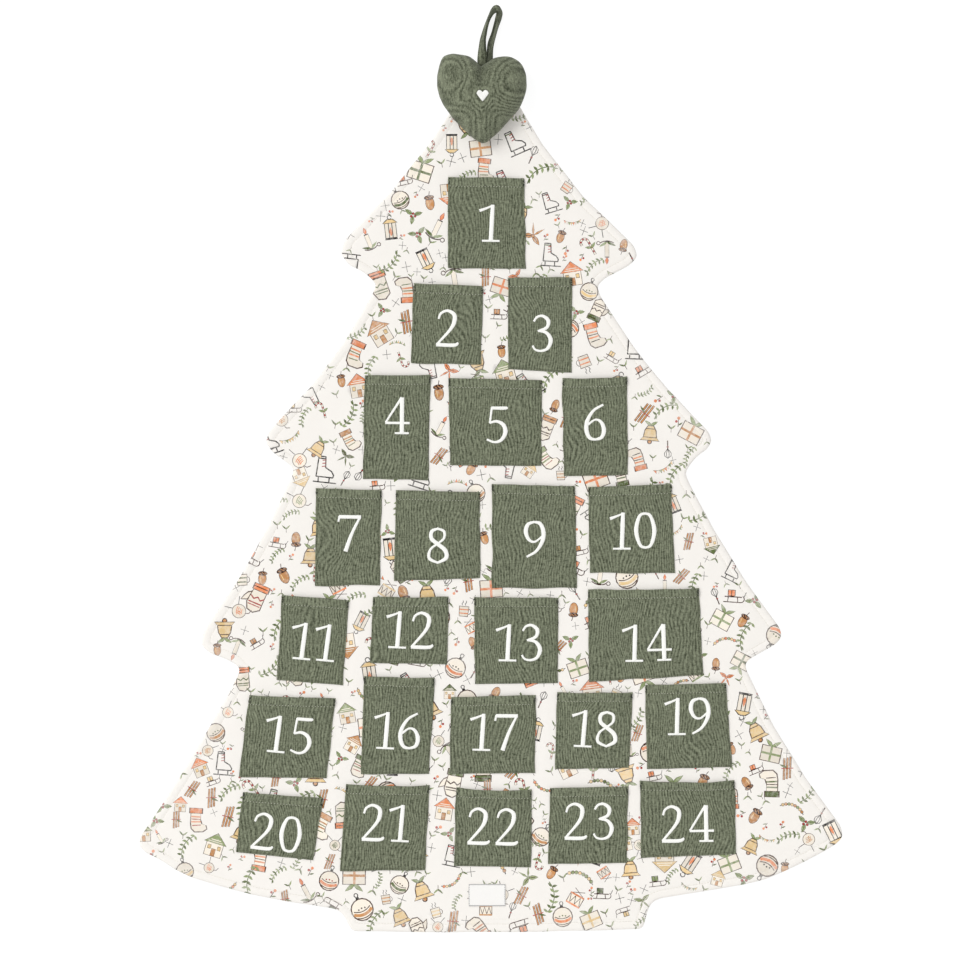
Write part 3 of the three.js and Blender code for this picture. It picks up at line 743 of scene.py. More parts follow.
# %% [markdown]
# ## A print of its own
#
# The cloth is printed with a winter design in water colours and fine lines of ink. A motif
# is a list of flat shapes, each a colour name and polygons. A few small makers draw them
# all. One unit is half the motif's height. No line is thinner on the cloth than the finest.

# %% Shapes for the print
palette = {
    "peach": (238, 146, 98), "brick": (172, 62, 58), "olive": (98, 112, 66),
    "sage": (150, 164, 116), "tan": (206, 148, 96), "honey": (240, 208, 152),
    "brown": (70, 40, 28), "charcoal": (36, 32, 30), "cream": (250, 240, 224),
}
ink_line = 0.082
thin = 0.04
finest_line = 0.062


def disc(x, z, wide, high=None):
    sides = 8 if wide < 0.2 else 16
    angles = np.linspace(0, 2 * np.pi, sides, endpoint=False)
    ring = np.stack([wide * np.cos(angles), (high or wide) * np.sin(angles)], axis=1)
    return [ring + (x, z)]


def band(line, width=ink_line):
    """A quad for every stretch of the line."""
    line = np.asarray(line, float)
    quads = []
    for a, b in zip(line, line[1:]):
        if np.allclose(a, b):
            continue
        along = (b - a) / np.linalg.norm(b - a)
        side = np.array([along[1], -along[0]]) * max(width, finest_line) / 2
        overlap = along * width * 0.15
        start, end = a - overlap, b + overlap
        quads.append(np.array([start + side, end + side, end - side, start - side]))
    return quads


def leaf(x0, z0, x1, z1, width):
    t = np.array([0, 0.18, 0.42, 0.7, 1])
    half = width / 2 * np.array([0, 0.75, 1, 0.7, 0])
    axis = np.array([x1 - x0, z1 - z0])
    side = np.array([axis[1], -axis[0]]) / np.linalg.norm(axis)
    line = np.array([x0, z0]) + t[:, None] * axis
    right = line + half[:, None] * side
    left = line - half[:, None] * side
    return [np.vstack([right, left[-2:0:-1]])]


def patch(*corners):
    return [np.array(corners, float)]


def hairline(colour, *points):
    """A shape that is one thin line through the points."""
    return colour, band(points, thin)


def arc(x, z, radius, start, end, steps=7):
    """Points on part of a circle, with the angles in degrees."""
    angles = np.radians(np.linspace(start, end, steps + 1))
    return np.stack([x + radius * np.cos(angles), z + radius * np.sin(angles)], axis=1)


def drawn(corners):
    """Only the outline of a shape, in ink."""
    return [("charcoal", band([*corners, corners[0]]))]


def inked(colour, polygons, line="charcoal", width=ink_line):
    """Filled polygons with a thin line of ink round each."""
    shapes = []
    for polygon in polygons:
        middle = polygon.mean(0)
        reach = np.linalg.norm(polygon - middle, axis=1)[:, None]
        grown = polygon + (polygon - middle) / reach * width
        shapes += [(line, [grown]), (colour, [polygon])]
    return shapes


def panel(colour, left, low, right, high, line="charcoal", width=ink_line):
    """An inked upright rectangle."""
    return inked(colour, patch((left, low), (right, low), (right, high), (left, high)), line, width)


def leaf_pair(z0, x1, z1, width, colour="sage", line="olive"):
    """Two inked leaves that part from the middle line, the left one first."""
    pair = [leaf(0, z0, side * x1, z1, width) for side in (-1, 1)]
    return [shape for polygons in pair for shape in inked(colour, polygons, line, thin)]


print("palette:", ", ".join(palette))

# %% [markdown]
# The motifs are things of the season, most of them drawn in thin lines. Berries, paired
# leaves and twinkles fill the gaps.


# %% Motifs
def bauble(main, other):
    return [
        ("charcoal", band(arc(0, 0.86, 0.13, -60, 240, 6), 0.05)),
        *inked("cream", disc(0, -0.15, 0.68), "brown"),
        (main, band(arc(0, 0.5, 1.0, 233, 307), 0.2)), ("brown", band(arc(0, 0.28, 1.0, 239, 301), thin)),
        ("brown", band(arc(0, 0.72, 1.0, 236, 304), thin)),
        (other, disc(-0.22, -0.1, 0.06)), (other, disc(0, -0.06, 0.06)), (other, disc(0.22, -0.1, 0.06)),
        ("charcoal", patch((-0.12, 0.56), (0.12, 0.56), (0.1, 0.74), (-0.1, 0.74))),
    ]


def holly(main, other):
    shapes = []
    for turn in (20, 150, 265):
        x, z = math.cos(math.radians(turn)), math.sin(math.radians(turn))
        shapes += inked("sage", leaf(0.15 * x, 0.15 * z, 0.92 * x, 0.92 * z, 0.36), "olive", thin)
        shapes.append(hairline("olive", (0.2 * x, 0.2 * z), (0.85 * x, 0.85 * z)))
    for x, z in ((0, 0.12), (0.2, -0.1), (-0.16, -0.14)):
        shapes += inked("brick", disc(x, z, 0.11), "brown", 0.03)
    return shapes


def mitten(main, other):
    palm = ((-0.5, -0.45), (0.36, -0.45), (0.46, 0.4), (0.28, 0.82), (-0.12, 0.92), (-0.48, 0.66))
    zigzag = [(-0.52, -0.08), (-0.3, 0.1), (-0.08, -0.08), (0.14, 0.1), (0.38, -0.06)]
    return [
        *inked("cream", leaf(0.2, -0.3, 0.86, 0.42, 0.36), "brown"), *inked("cream", patch(*palm), "brown"),
        *inked(main, patch((-0.56, -0.88), (0.4, -0.88), (0.42, -0.5), (-0.56, -0.5)), "brown"),
        (other, band(zigzag)), (other, band([(-0.46, 0.34), (0.4, 0.34)])),
        hairline(other, (-0.42, 0.5), (0.38, 0.5)),
        hairline("brown", (-0.5, -0.7), (0.38, -0.7)),
    ]


def parcel(main, other):
    return [
        *panel("cream", -0.72, -0.8, 0.72, 0.32, "brown"),
        (main, band([(-0.02, -0.8), (-0.02, 0.32)], 0.16)),
        (main, band([(-0.72, -0.24), (0.72, -0.24)], 0.16)),
        *leaf_pair(0.35, 0.58, 0.8, 0.22),
    ]


def cane(main, other):
    line = np.vstack([[(0.32, z) for z in np.linspace(-1, 0.3, 7)], arc(-0.05, 0.42, 0.37, 20, 195, 6)])
    shapes = [("brown", band(line, 0.24))]
    for index, quad in enumerate(band(line, 0.15)):
        shapes.append(("brick" if index % 2 else "cream", [quad]))
    shapes += inked("sage", leaf(0.3, -0.3, 0.85, 0.0, 0.2), "olive", thin)
    return shapes + inked("sage", leaf(0.3, -0.3, -0.2, 0.0, 0.2), "olive", thin)


def bell(main, other):
    body = (
        (-0.7, -0.52), (0.7, -0.52), (0.48, -0.28), (0.4, 0.2),
        (0.2, 0.56), (-0.2, 0.56), (-0.4, 0.2), (-0.48, -0.28),
    )
    return [
        *inked("tan", disc(0, -0.64, 0.12), "brown"), *inked("honey", patch(*body), "brown"),
        hairline("brown", (-0.48, -0.3), (0.48, -0.3)),
        hairline("brown", (-0.3, 0.36), (0.3, 0.36)),
        *leaf_pair(0.64, 0.48, 0.94, 0.18),
    ]


def spice_sticks(main, other):
    shapes = []
    for x in (-0.28, 0.0, 0.28):
        line = [(x - 0.3, -0.9), (x + 0.26, 0.86)]
        shapes += [("brown", band(line, 0.2)), ("tan", band(line, 0.12))]
    tied = ("brick", band([(-0.5, 0.1), (0.5, -0.16)], 0.08))
    return shapes + [tied, ("olive", leaf(0, 0, -0.6, 0.5, 0.2))]


def acorn(main, other):
    return [
        ("brown", band([(0, 0.5), (0.12, 0.95)], 0.07)),
        *inked("tan", disc(0, -0.2, 0.4, 0.64), "brown", 0.05),
        ("brown", disc(0, 0.36, 0.5, 0.24)), hairline("tan", (-0.34, 0.42), (-0.1, 0.24)),
        hairline("tan", (-0.08, 0.5), (0.2, 0.26)), hairline("tan", (0.2, 0.48), (0.4, 0.32)),
        ("honey", band([(-0.16, -0.5), (-0.2, 0.0)], 0.08)),
    ]


def stocking(main, other):
    leg = ((-0.42, 0.5), (-0.4, -0.25), (-0.34, -0.6), (-0.1, -0.82), (0.46, -0.78), (0.72, -0.58),
           (0.64, -0.34), (0.34, -0.26), (0.26, 0.0), (0.26, 0.5))
    return [
        *inked("cream", patch(*leg), "brown"), *panel(main, -0.5, 0.5, 0.34, 0.84, "brown"),
        (main, band([(-0.41, 0.24), (0.26, 0.24)], 0.1)), hairline(other, (-0.4, 0.06), (0.26, 0.06)),
        (main, band([(-0.38, -0.14), (0.28, -0.1)], 0.1)),
        hairline(other, (-0.3, -0.4), (0.3, -0.34)),
    ]


def lantern(main, other):
    return [
        *panel("cream", -0.4, -0.7, 0.4, 0.36),
        ("charcoal", patch((-0.48, -0.86), (0.48, -0.86), (0.44, -0.74), (-0.44, -0.74))),
        *inked("honey", patch((-0.5, 0.4), (0.5, 0.4), (0.18, 0.64), (-0.18, 0.64))),
        hairline("charcoal", (-0.13, -0.7), (-0.13, 0.36)),
        hairline("charcoal", (0.13, -0.7), (0.13, 0.36)),
        ("peach", leaf(0, -0.6, 0, 0.1, 0.22)), ("charcoal", band(arc(0, 0.82, 0.16, 0, 320, 6), thin)),
    ]


def ribbon_bow(main, other):
    return [
        *leaf_pair(0.1, 0.56, -0.85, 0.14, main, "brown"),
        *leaf_pair(0.15, 0.86, 0.56, 0.38, main, "brown"),
        ("brown", band([(-0.1, 0.2), (-0.6, 0.44)], 0.03)),
        ("brown", band([(0.1, 0.2), (0.6, 0.44)], 0.03)),
        *inked(main, disc(0, 0.15, 0.12), "brown", thin),
    ]


def sledge(main, other):
    runner = np.vstack([[(-0.95, -0.5), (0.55, -0.5)], arc(0.55, -0.2, 0.3, -90, 60, 5)])
    return [
        ("brown", band(runner)), ("brown", band([(-0.6, -0.5), (-0.55, -0.1)])),
        ("brown", band([(0.3, -0.5), (0.25, -0.1)])), ("brown", band([(-0.85, -0.04), (0.62, -0.04)], 0.1)),
        *panel(main, -0.55, 0.06, 0.0, 0.52), hairline("charcoal", (-0.28, 0.06), (-0.28, 0.52)),
        hairline("charcoal", (0.78, -0.1), (0.98, 0.4)),
    ]


def skate(main, other):
    boot = (
        (-0.4, 0.85), (0.04, 0.85), (0.1, 0.15), (0.5, -0.06), (0.66, -0.3), (0.62, -0.46), (-0.46, -0.46),
    )
    return [
        *drawn(boot), ("charcoal", band([(-0.62, -0.8), (0.86, -0.8)])),
        ("charcoal", band([(-0.3, -0.5), (-0.3, -0.8)])), ("charcoal", band([(0.4, -0.5), (0.4, -0.8)])),
        *[("brick", band([(-0.14, z), (0.08, z + 0.05)], 0.05)) for z in (0.2, 0.4, 0.6)],
        (other, band([(-0.42, 0.72), (0.04, 0.72)], 0.08)),
    ]


def drum(main, other):
    zigzag = [(-0.6, 0.32), (-0.36, -0.42), (-0.12, 0.32), (0.12, -0.42), (0.36, 0.32), (0.6, -0.42)]
    return [
        *panel("cream", -0.64, -0.5, 0.64, 0.4, "brown"),
        ("brown", band(zigzag, 0.05)), (main, band([(-0.66, -0.52), (0.66, -0.52)], 0.16)),
        (main, band([(-0.66, 0.42), (0.66, 0.42)], 0.16)),
        ("brown", band([(-0.5, 0.95), (0.5, 0.5)], 0.05)),
        ("brown", band([(0.5, 0.95), (-0.5, 0.5)], 0.05)),
    ]


def whisk(main, other):
    wires = [[(0, -0.1), (x, 0.35), (x * 0.9, 0.68), (0, 0.92)] for x in (-0.36, -0.14, 0.14, 0.36)]
    return [
        *[("charcoal", band(wire, thin)) for wire in wires],
        ("brown", band([(0, -0.95), (0, -0.08)], 0.12)), ("brick", band([(-0.1, -0.3), (0.1, -0.3)], 0.1)),
    ]


def garland(main, other):
    line = arc(0, 1.0, 1.25, 222, 318, 9)
    shapes = [("charcoal", band(line, thin))]
    for index, (x, z) in enumerate(line[1:-1]):
        shapes += inked((main, "honey", "sage")[index % 3], disc(x, z, 0.1), "brown", 0.03)
    return shapes


def cottage(main, other):
    return [
        *panel("cream", -0.6, -0.8, 0.6, 0.15, "brown", 0.05),
        *inked(main, patch((-0.8, 0.14), (0.8, 0.14), (0, 0.86)), "brown", 0.05),
        *panel("tan", -0.14, -0.8, 0.14, -0.3, "brown", thin),
        *panel("honey", -0.46, -0.3, -0.26, -0.06, "brown", thin),
        *panel("honey", 0.26, -0.3, 0.46, -0.06, "brown", thin),
        hairline("cream", (-0.5, 0.24), (0.5, 0.24)),
        hairline("cream", (-0.36, 0.38), (0.36, 0.38)),
    ]


def mug(main, other):
    return [
        ("brown", band(arc(0.42, -0.3, 0.3, -75, 75, 6), 0.06)),
        *inked("cream", patch((-0.44, -0.78), (0.4, -0.78), (0.46, 0.2), (-0.5, 0.2)), "brown"),
        (main, band([(-0.47, -0.1), (0.44, -0.1)], 0.12)),
        (main, band([(-0.45, -0.5), (0.42, -0.5)], 0.12)),
        hairline("charcoal", (-0.2, 0.34), (-0.28, 0.5), (-0.14, 0.66), (-0.2, 0.84)),
        hairline("charcoal", (0.14, 0.34), (0.06, 0.5), (0.2, 0.66), (0.14, 0.84)),
    ]


def candle(main, other):
    return [
        ("brown", band(arc(0, 0.1, 0.95, 236, 304, 6), 0.08)),
        ("brown", band(arc(0.66, -0.68, 0.14, -160, 160, 6), 0.05)),
        *panel("cream", -0.15, -0.74, 0.15, 0.36),
        hairline("charcoal", (0, 0.36), (0, 0.5)),
        *inked("peach", leaf(0, 0.46, 0.02, 0.94, 0.2), "brick", thin),
        ("olive", leaf(0, -0.76, -0.7, -0.46, 0.2)), ("sage", leaf(0, -0.76, 0.6, -0.4, 0.2)),
    ]


def bunting(main, other):
    line = arc(0, 1.3, 1.6, 234, 306, 8)
    shapes = [("charcoal", band(line, thin))]
    for index, (a, b) in enumerate(zip(line, line[1:])):
        tip = (a + b) / 2 - (0, 0.3)
        shapes += inked((main, "cream", "sage", "honey")[index % 4], [np.array([a, tip, b])], "brown", 0.03)
    return shapes


def yarn(main, other):
    return [
        ("charcoal", band([(-0.8, 0.9), (0.5, -0.5)], 0.05)),
        ("charcoal", band([(0.8, 0.9), (-0.5, -0.5)], 0.05)),
        *inked("cream", disc(0, -0.15, 0.58), "brown", 0.05),
        *[(main, band(arc(0.5, -0.6, radius, 112, 158, 5), 0.05)) for radius in (0.45, 0.6, 0.75, 0.9)],
        *[(main, band(arc(-0.6, -0.5, radius, 0, 48, 5), 0.05)) for radius in (0.5, 0.66)],
        hairline("brown", (0.3, -0.62), (0.6, -0.8), (0.95, -0.7)),
    ]


def spray(main, other):
    line = arc(0.9, -0.5, 1.5, 100, 185, 6)
    shapes = [("olive", band(line, 0.05))]
    for index, (x, z) in enumerate(line[:-1]):
        colour = "olive" if index % 2 else "sage"
        shapes.append((colour, leaf(x, z, x - 0.34, z + 0.12, 0.17)))
        shapes.append((colour, leaf(x, z, x + 0.1, z - 0.36, 0.17)))
    return shapes


def berries(main, other):
    return [
        ("brown", band([(-0.6, -0.7), (0.3, 0.5)], 0.11)), ("peach", disc(0.4, 0.55, 0.3)),
        ("brick", disc(-0.3, 0.3, 0.24)), ("olive", leaf(-0.4, -0.5, 0.6, -0.5, 0.28)),
    ]


def paired_leaves(main, other):
    return [
        ("olive", leaf(0, -0.3, -0.9, 0.6, 0.32)), ("sage", leaf(0, -0.3, 0.9, 0.6, 0.32)),
        ("brown", band([(0, -1), (0, 0.1)], 0.1)),
    ]


def twinkle(main, other):
    return [("charcoal", band([(-0.9, 0), (0.9, 0)], 0.1)), ("charcoal", band([(0, -1), (0, 1)], 0.1))]


large_motifs = [
    bauble, spray, parcel, stocking, lantern, mitten, garland, bell, skate, spray, cottage, candle,
]
small_motifs = [
    holly, spice_sticks, acorn, ribbon_bow, cane, sledge, mug, whisk, yarn, drum, spray, holly, candle,
    cottage, bunting, spray, acorn, spice_sticks, sledge,
]
fillers = [berries, twinkle, paired_leaves, paired_leaves]
print(len(set(large_motifs + small_motifs + fillers)), "motifs")

# %% [markdown]
# Scattering works like throwing darts: large motifs first, then smaller ones, then small
# fillers, and each one lands only where it keeps clear of those already there. Nothing is
# printed deep under a pocket. The seed is fixed, so every run scatters alike.

# %% Scatter the print
motif_classes = [(large_motifs, 13, 17, 900), (small_motifs, 9, 12.5, 4500), (fillers, 4, 6, 6000)]
motif_spread = 0.79
hidden_share = 0.9
most_turn = 35
leading_colours = ["peach", "sage", "peach", "honey", "tan", "peach", "olive"]
second_colours = ["olive", "brick", "charcoal", "brown", "olive"]


def beyond_pockets(points):
    """How far each point lies outside the nearest pocket, and below zero inside one."""
    points = np.asarray(points, float)
    nearest = np.full(len(points), np.inf)
    for pocket in pockets.values():
        corners = pocket["corners"][::-1]
        sides = np.roll(corners, -1, axis=0) - corners
        sides /= np.linalg.norm(sides, axis=1)[:, None]
        out = np.stack([sides[:, 1], -sides[:, 0]], axis=1)
        away = ((points[:, None, :] - corners[None]) * out[None]).sum(2).max(1)
        nearest = np.minimum(nearest, away)
    return nearest


def scattered_motifs():
    """Each motif's shapes in place, as (colour, cover, polygon)."""
    dice = random.Random(24)
    low, high = tree_edge.min(0), tree_edge.max(0)
    landed = []
    shapes = []
    for makers, smallest, largest, throws in motif_classes:
        spots = [(dice.uniform(low[0], high[0]), dice.uniform(low[1], high[1])) for _ in range(throws)]
        spots = np.array(spots)
        inside = inside_edge(spots)
        clear = beyond_pockets(spots)
        for spot, is_inside, beyond in zip(spots, inside, clear):
            size = dice.uniform(smallest, largest)
            if not is_inside or beyond < -hidden_share * size:
                continue
            if any(math.hypot(*(spot - other)) < motif_spread * (size + reach) for other, reach in landed):
                continue
            landed.append((spot, size))
            main, other = dice.choice(leading_colours), dice.choice(second_colours)
            other = "brown" if other == main else other
            turn = math.radians(dice.uniform(-most_turn, most_turn) + dice.choice((0, 0, 180)))
            cover = dice.uniform(0.84, 1.0)
            for name, polygons in dice.choice(makers)(main, other):
                shade = dice.uniform(0.93, 1.03)
                tint = [min(255, value * shade) for value in palette[name]]
                for polygon in polygons:
                    laid = turned_left(turned(polygon * size, turn) + spot)
                    shapes.append((linear(*tint)[:3], cover, laid))
    return shapes, len(landed)


motif_shapes, motif_count = scattered_motifs()
print(motif_count, "motifs of", len(motif_shapes), "shapes")

# %% [markdown]
# ## The relief of the tree
#
# The cloth rolls over at its edge, swells where the seam allowance doubles it, dips into
# the row of topstitching, puckers beside it, and swells softly over the wadding between
# the pockets. Under a pocket it stays flat, because the pocket is sewn to it.

# %% Relief of the tree cloth
cloth_thick = 0.8
rim_roll = 2.8
rim_swell = 0.15
swell_inset = 5.2
stitch_inset = 8.6
stitch_dip = 0.4
pucker_height = 0.14
pucker_length = 8.5
pucker_width = 4.5
swell_between = 0.5
small_swell = 0.35
swell_margin = 14
slot_half_width = 9
slot_fade = 3
slot_rise = 1.15
slot_depth = 40
hem_row_pixels = ((375, 919), (625, 919))
hem_line = np.array([from_pixel(*pixel) for pixel in hem_row_pixels])
tape_centre = (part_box("loop_tail")[0].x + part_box("loop_tail")[1].x) / 2 / mm
tree_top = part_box("front_panel")[1].z / mm


def tape_slot(points, depth):
    """1 where the tape enters the top seam, down to that depth, and softly 0 beside it."""
    beside = np.clip((slot_half_width + slot_fade - np.abs(points[:, 0] - tape_centre)) / slot_fade, 0, 1)
    return soft_step(beside) * (points[:, 1] > tree_top - depth)


def tree_relief(points, seed):
    """How far the cloth stands out from the middle of the tree's thickness."""
    away, along = from_edge(points)
    roll = np.sqrt(1 - (1 - np.minimum(away / rim_roll, 1)) ** 2)
    level = seam_half + slot_rise * tape_slot(points, slot_depth)
    depth = level + (cloth_face - level) * roll
    depth += rim_swell * bump_at(away - swell_inset, 2.2)
    depth -= stitch_dip * bump_at(away - stitch_inset, 1.0)
    drift = 2.2 * ripple(np.stack([along, away * 0.3], axis=1), 40, seed)
    puckers = np.sin(2 * np.pi * along / pucker_length + drift)
    depth += pucker_height * puckers * bump_at(away - stitch_inset, pucker_width) * np.minimum(away / 3, 1)
    free = soft_step((beyond_pockets(points) - 1) / swell_margin)
    inner = soft_step((away - stitch_inset) / swell_margin)
    depth += swell_between * free * inner * (0.8 + 0.6 * ripple(points, 60, seed + 4))
    depth += small_swell * free * inner * ripple(points, 22, seed + 9)
    in_row = (points[:, 0] > hem_line[0, 0]) & (points[:, 0] < hem_line[1, 0])
    depth -= stitch_dip * bump_at(points[:, 1] - hem_line[0, 1], 0.9) * in_row
    return depth


def inner_relief(points):
    """The wrong side: level with the seam in the turned-in allowance, then one cloth thick."""
    away, _ = from_edge(points)
    within = soft_step((away - stitch_inset + 0.3) / 0.6)
    depth = seam_half + (cloth_face - cloth_thick - seam_half) * within
    slot = tape_slot(points, stitch_inset + 1) * np.minimum(away / 0.4, 1)
    return np.maximum(depth, seam_half + slot_rise * slot)


print("the tape enters the top seam at x", round(tape_centre, 1), "mm")

# %% [markdown]
# ## Cutting the cloth into triangles
#
# A constrained triangulation takes the outline, free points for the relief and every shape
# of the print together. So each triangle lies in one colour, and the print's edges are as
# crisp as they are on cloth. A coarser cut makes the wrong side, and the two share a rim.

# %% Triangulated cloth
relief_grid = 5
rim_rows = (0.3, 0.9, 1.7, 2.8, 4.2, 5.8, 7.4, 8.2, 8.6, 9.0, 9.8, 11.2)
lining_grid = 25
lining_rows = (0.5, 2.5, 5.5, 8.2, 9.0)
grid_margin = 12.5
front_seed = 1.5
back_seed = 6.5


def triangulated(loop, free, shapes=()):
    """Flat points, triangles inside the loop, and the last shape each triangle lies in."""
    everything = [loop, free, *shapes]
    starts = np.cumsum([0] + [len(part) for part in everything])
    faces = [list(range(len(loop)))]
    faces += [list(range(starts[i + 2], starts[i + 3])) for i in range(len(shapes))]
    points = [Vector(point) for point in np.vstack(everything).tolist()]
    found = geometry.delaunay_2d_cdt(points, [], faces, 1, 1e-4, True)
    kept = [(tuple(face), max(ids)) for face, ids in zip(found[2], found[5]) if 0 in ids]
    used = sorted({index for face, _ in kept for index in face})
    renamed = {old: new for new, old in enumerate(used)}
    triangles = [tuple(renamed[index] for index in face) for face, _ in kept]
    return np.array([tuple(found[0][index]) for index in used]), triangles, [top for _, top in kept]


def rim_points(rows):
    """Rows of points inside the outline, each as far from it as asked."""
    out = outward(tree_edge)
    kept = []
    for row in rows:
        line = tree_edge - out * row
        away, _ = from_edge(line)
        kept.append(line[(away > row - 0.12) & inside_edge(line)])
    return np.vstack(kept)


def grid_points(step, margin):
    """A staggered grid inside the outline, clear of it by a margin."""
    low, high = tree_edge.min(0), tree_edge.max(0)
    rows = np.arange(low[1], high[1], step)
    columns = np.arange(low[0], high[0], step)
    places = np.array([(x + (i % 2) * step / 2, z) for i, z in enumerate(rows) for x in columns])
    places = places[inside_edge(places)]
    away, _ = from_edge(places)
    return places[away > margin]


def rim_of(triangles):
    """The loop of points round a set of triangles."""
    directed = {(t[i], t[(i + 1) % 3]) for t in triangles for i in range(3)}
    following = {a: b for a, b in directed if (b, a) not in directed}
    first = next(iter(following))
    loop = [first]
    while following[loop[-1]] != first:
        loop.append(following[loop[-1]])
    return loop


def tree_cloth(name, side, finish, shapes, seed):
    """A closed sheet of cloth in the tree's outline. Side is -1 in front and 1 behind."""
    polygons = [shape[2] for shape in shapes]
    free = np.vstack([rim_points(rim_rows), grid_points(relief_grid, grid_margin)])
    places, triangles, tops = triangulated(tree_edge, free, polygons)
    rim = rim_of(triangles)
    lining_free = np.vstack([rim_points(lining_rows), grid_points(lining_grid, grid_margin)])
    lining, lining_triangles, _ = triangulated(places[rim], lining_free)
    rim_index = {(round(x, 2), round(z, 2)): index for index, (x, z) in zip(rim, places[rim])}
    shared = [rim_index.get((round(x, 2), round(z, 2)), len(places) + i) for i, (x, z) in enumerate(lining)]
    outer = np.insert(places, 1, side * tree_relief(places, seed), axis=1)
    inner = np.insert(lining, 1, side * inner_relief(lining), axis=1)
    faces = [t[::-side] for t in triangles]
    faces += [tuple(shared[i] for i in t)[::side] for t in lining_triangles]
    cloth = new_piece(name, np.vstack([outer, inner]), faces, finish)
    if shapes:
        paint_print(cloth.data, places, triangles, tops, shapes)
    return cloth


def paint_print(mesh, places, triangles, tops, shapes):
    """Each triangle's ink. Its alpha is a little lower in the rim, up to the row of topstitching."""
    inks = np.array([(0, 0, 0, 0)] + [(*colour, cover) for colour, cover, _ in shapes])
    corner_ink = np.zeros((len(mesh.loops), 4))
    ink = np.repeat(inks[np.array(tops)], 3, axis=0)
    corners = np.array(triangles).reshape(-1)
    away, _ = from_edge(places)
    fade = 0.85 + 0.15 * soft_step((away[corners] - stitch_inset + 1) / 2)
    ink[:, 3] *= fade
    corner_ink[: len(ink)] = ink
    layer = mesh.color_attributes.new("print", "FLOAT_COLOR", "CORNER")
    layer.data.foreach_set("color", corner_ink.ravel())


front_cloth = tree_cloth("front_cloth", -1, printed_canvas, motif_shapes, front_seed)
carried_by(front_cloth, "tree", "printed_canvas", "front_panel")
back_cloth = tree_cloth("back_cloth", 1, plain_canvas, [], back_seed)
carried_by(back_cloth, "tree", "plain_canvas", "back_panel")
print("front cloth:", len(front_cloth.data.polygons), "faces, back:", len(back_cloth.data.polygons))

# %% [markdown]
# ## Thread that can be seen
#
# A stitch on the right side is a short length of thread that dips into the cloth at both
# ends. All stitches come from one maker, which takes where each starts and ends and which
# way is out of the cloth.


# %% Stitches
thread_sides = 6
edge_stitch = (3.1, 2.5)
edge_thread = 0.27
toward_viewer = (0, -1, 0)


def stitch_mesh(name, starts, ends, out, radius, finish):
    """Short threads between points in mm. They bulge out, in one direction or in one for each."""
    starts, ends, out = (np.asarray(v, float) for v in (starts, ends, out))
    along = ends - starts
    along /= np.linalg.norm(along, axis=1)[:, None]
    side = np.cross(along, out)
    side /= np.linalg.norm(side, axis=1)[:, None]
    shares = np.array([0, 0.14, 0.5, 0.86, 1])
    lift = np.array([-0.9, 0.25, 0.6, 0.25, -0.9]) * radius
    thick = np.array([0.7, 1, 1, 1, 0.7]) * radius
    angles = np.linspace(0, 2 * np.pi, thread_sides, endpoint=False)
    ring = np.cos(angles)[:, None, None] * side + np.sin(angles)[:, None, None] * out
    points = [
        starts + share * (ends - starts) + out * rise + ring * size
        for share, rise, size in zip(shares, lift, thick)
    ]
    points = np.array(points).transpose(2, 0, 1, 3)
    ring_index = np.arange(len(shares) * thread_sides).reshape(-1, thread_sides)
    per_stitch = ring_index.size
    pattern = [
        (low[i], low[(i + 1) % thread_sides], high[(i + 1) % thread_sides], high[i])
        for low, high in zip(ring_index, ring_index[1:]) for i in range(thread_sides)
    ]
    pattern += [tuple(ring_index[0][::-1]), tuple(ring_index[-1])]
    faces = [tuple(i + k * per_stitch for i in face) for k in range(len(starts)) for face in pattern]
    return new_piece(name, points.reshape(-1, 3), faces, finish)


def stitches_along(line, pitch, length):
    """Start and end points of stitches of that length along a line, a pitch apart."""
    steps = spaced(line, pitch)
    ahead = np.roll(steps, -1, axis=0)[:-1] - steps[:-1]
    return steps[:-1], steps[:-1] + ahead * (length / pitch)


def topstitch_line():
    """The closed row inside the tree's edge."""
    line = tree_edge - outward(tree_edge) * stitch_inset
    away, _ = from_edge(line)
    line = line[(away > stitch_inset - 0.15) & inside_edge(line)]
    return np.vstack([line, line[:1]])


def on_tree(points, side, seed):
    return np.insert(points, 1, side * tree_relief(points, seed), axis=1)


def edge_row(name, side, seed):
    """The row round the tree and the short one across its trunk, on one face."""
    ends = [on_tree(points, side, seed) for points in (row_starts, row_ends)]
    row = stitch_mesh(name, *ends, (0, side, 0), edge_thread, seam_thread)
    return carried_by(row, "tree", "white_thread")


tree_rows = [stitches_along(line, *edge_stitch) for line in (topstitch_line(), hem_line)]
row_starts, row_ends = (np.vstack(points) for points in zip(*tree_rows))
front_row = edge_row("edge_stitching_front", -1, front_seed)
back_row = edge_row("edge_stitching_back", 1, back_seed)
print(len(row_starts), "stitches on each face")

# %% [markdown]
# ## Wadding
#
# A thin layer of wadding lies between the cloths, cut just inside the seam. It is a little
# uneven, as fibre is.

# %% Wadding
wadding_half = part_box("wadding")[1].y / mm
wadding_edge_step = 6
wadding_grid = 14
wadding_margin = 16


def wadding_pad():
    loop = turned_left(flat_face_loop("wadding", -wadding_half))
    loop = spaced(loop, wadding_edge_step, closed=True)
    free = grid_points(wadding_grid, wadding_margin)
    places, triangles, _ = triangulated(loop, free)
    edge = rim_of(triangles)
    thick = wadding_half * (0.97 - 0.12 * np.abs(ripple(places, 30, 8.0)))
    thick[edge] *= 0.6
    front = np.insert(places, 1, -thick, axis=1)
    back = np.insert(places, 1, thick, axis=1)
    count = len(places)
    faces = list(triangles) + [tuple(i + count for i in t[::-1]) for t in triangles]
    faces += [(b, a, a + count, b + count) for a, b in zip(edge, edge[1:] + edge[:1])]
    return new_piece("tree_wadding", np.vstack([front, back]), faces, wadding_finish)


tree_wadding = carried_by(wadding_pad(), "tree", "wadding", "wadding")
print("wadding:", len(tree_wadding.data.polygons), "faces")

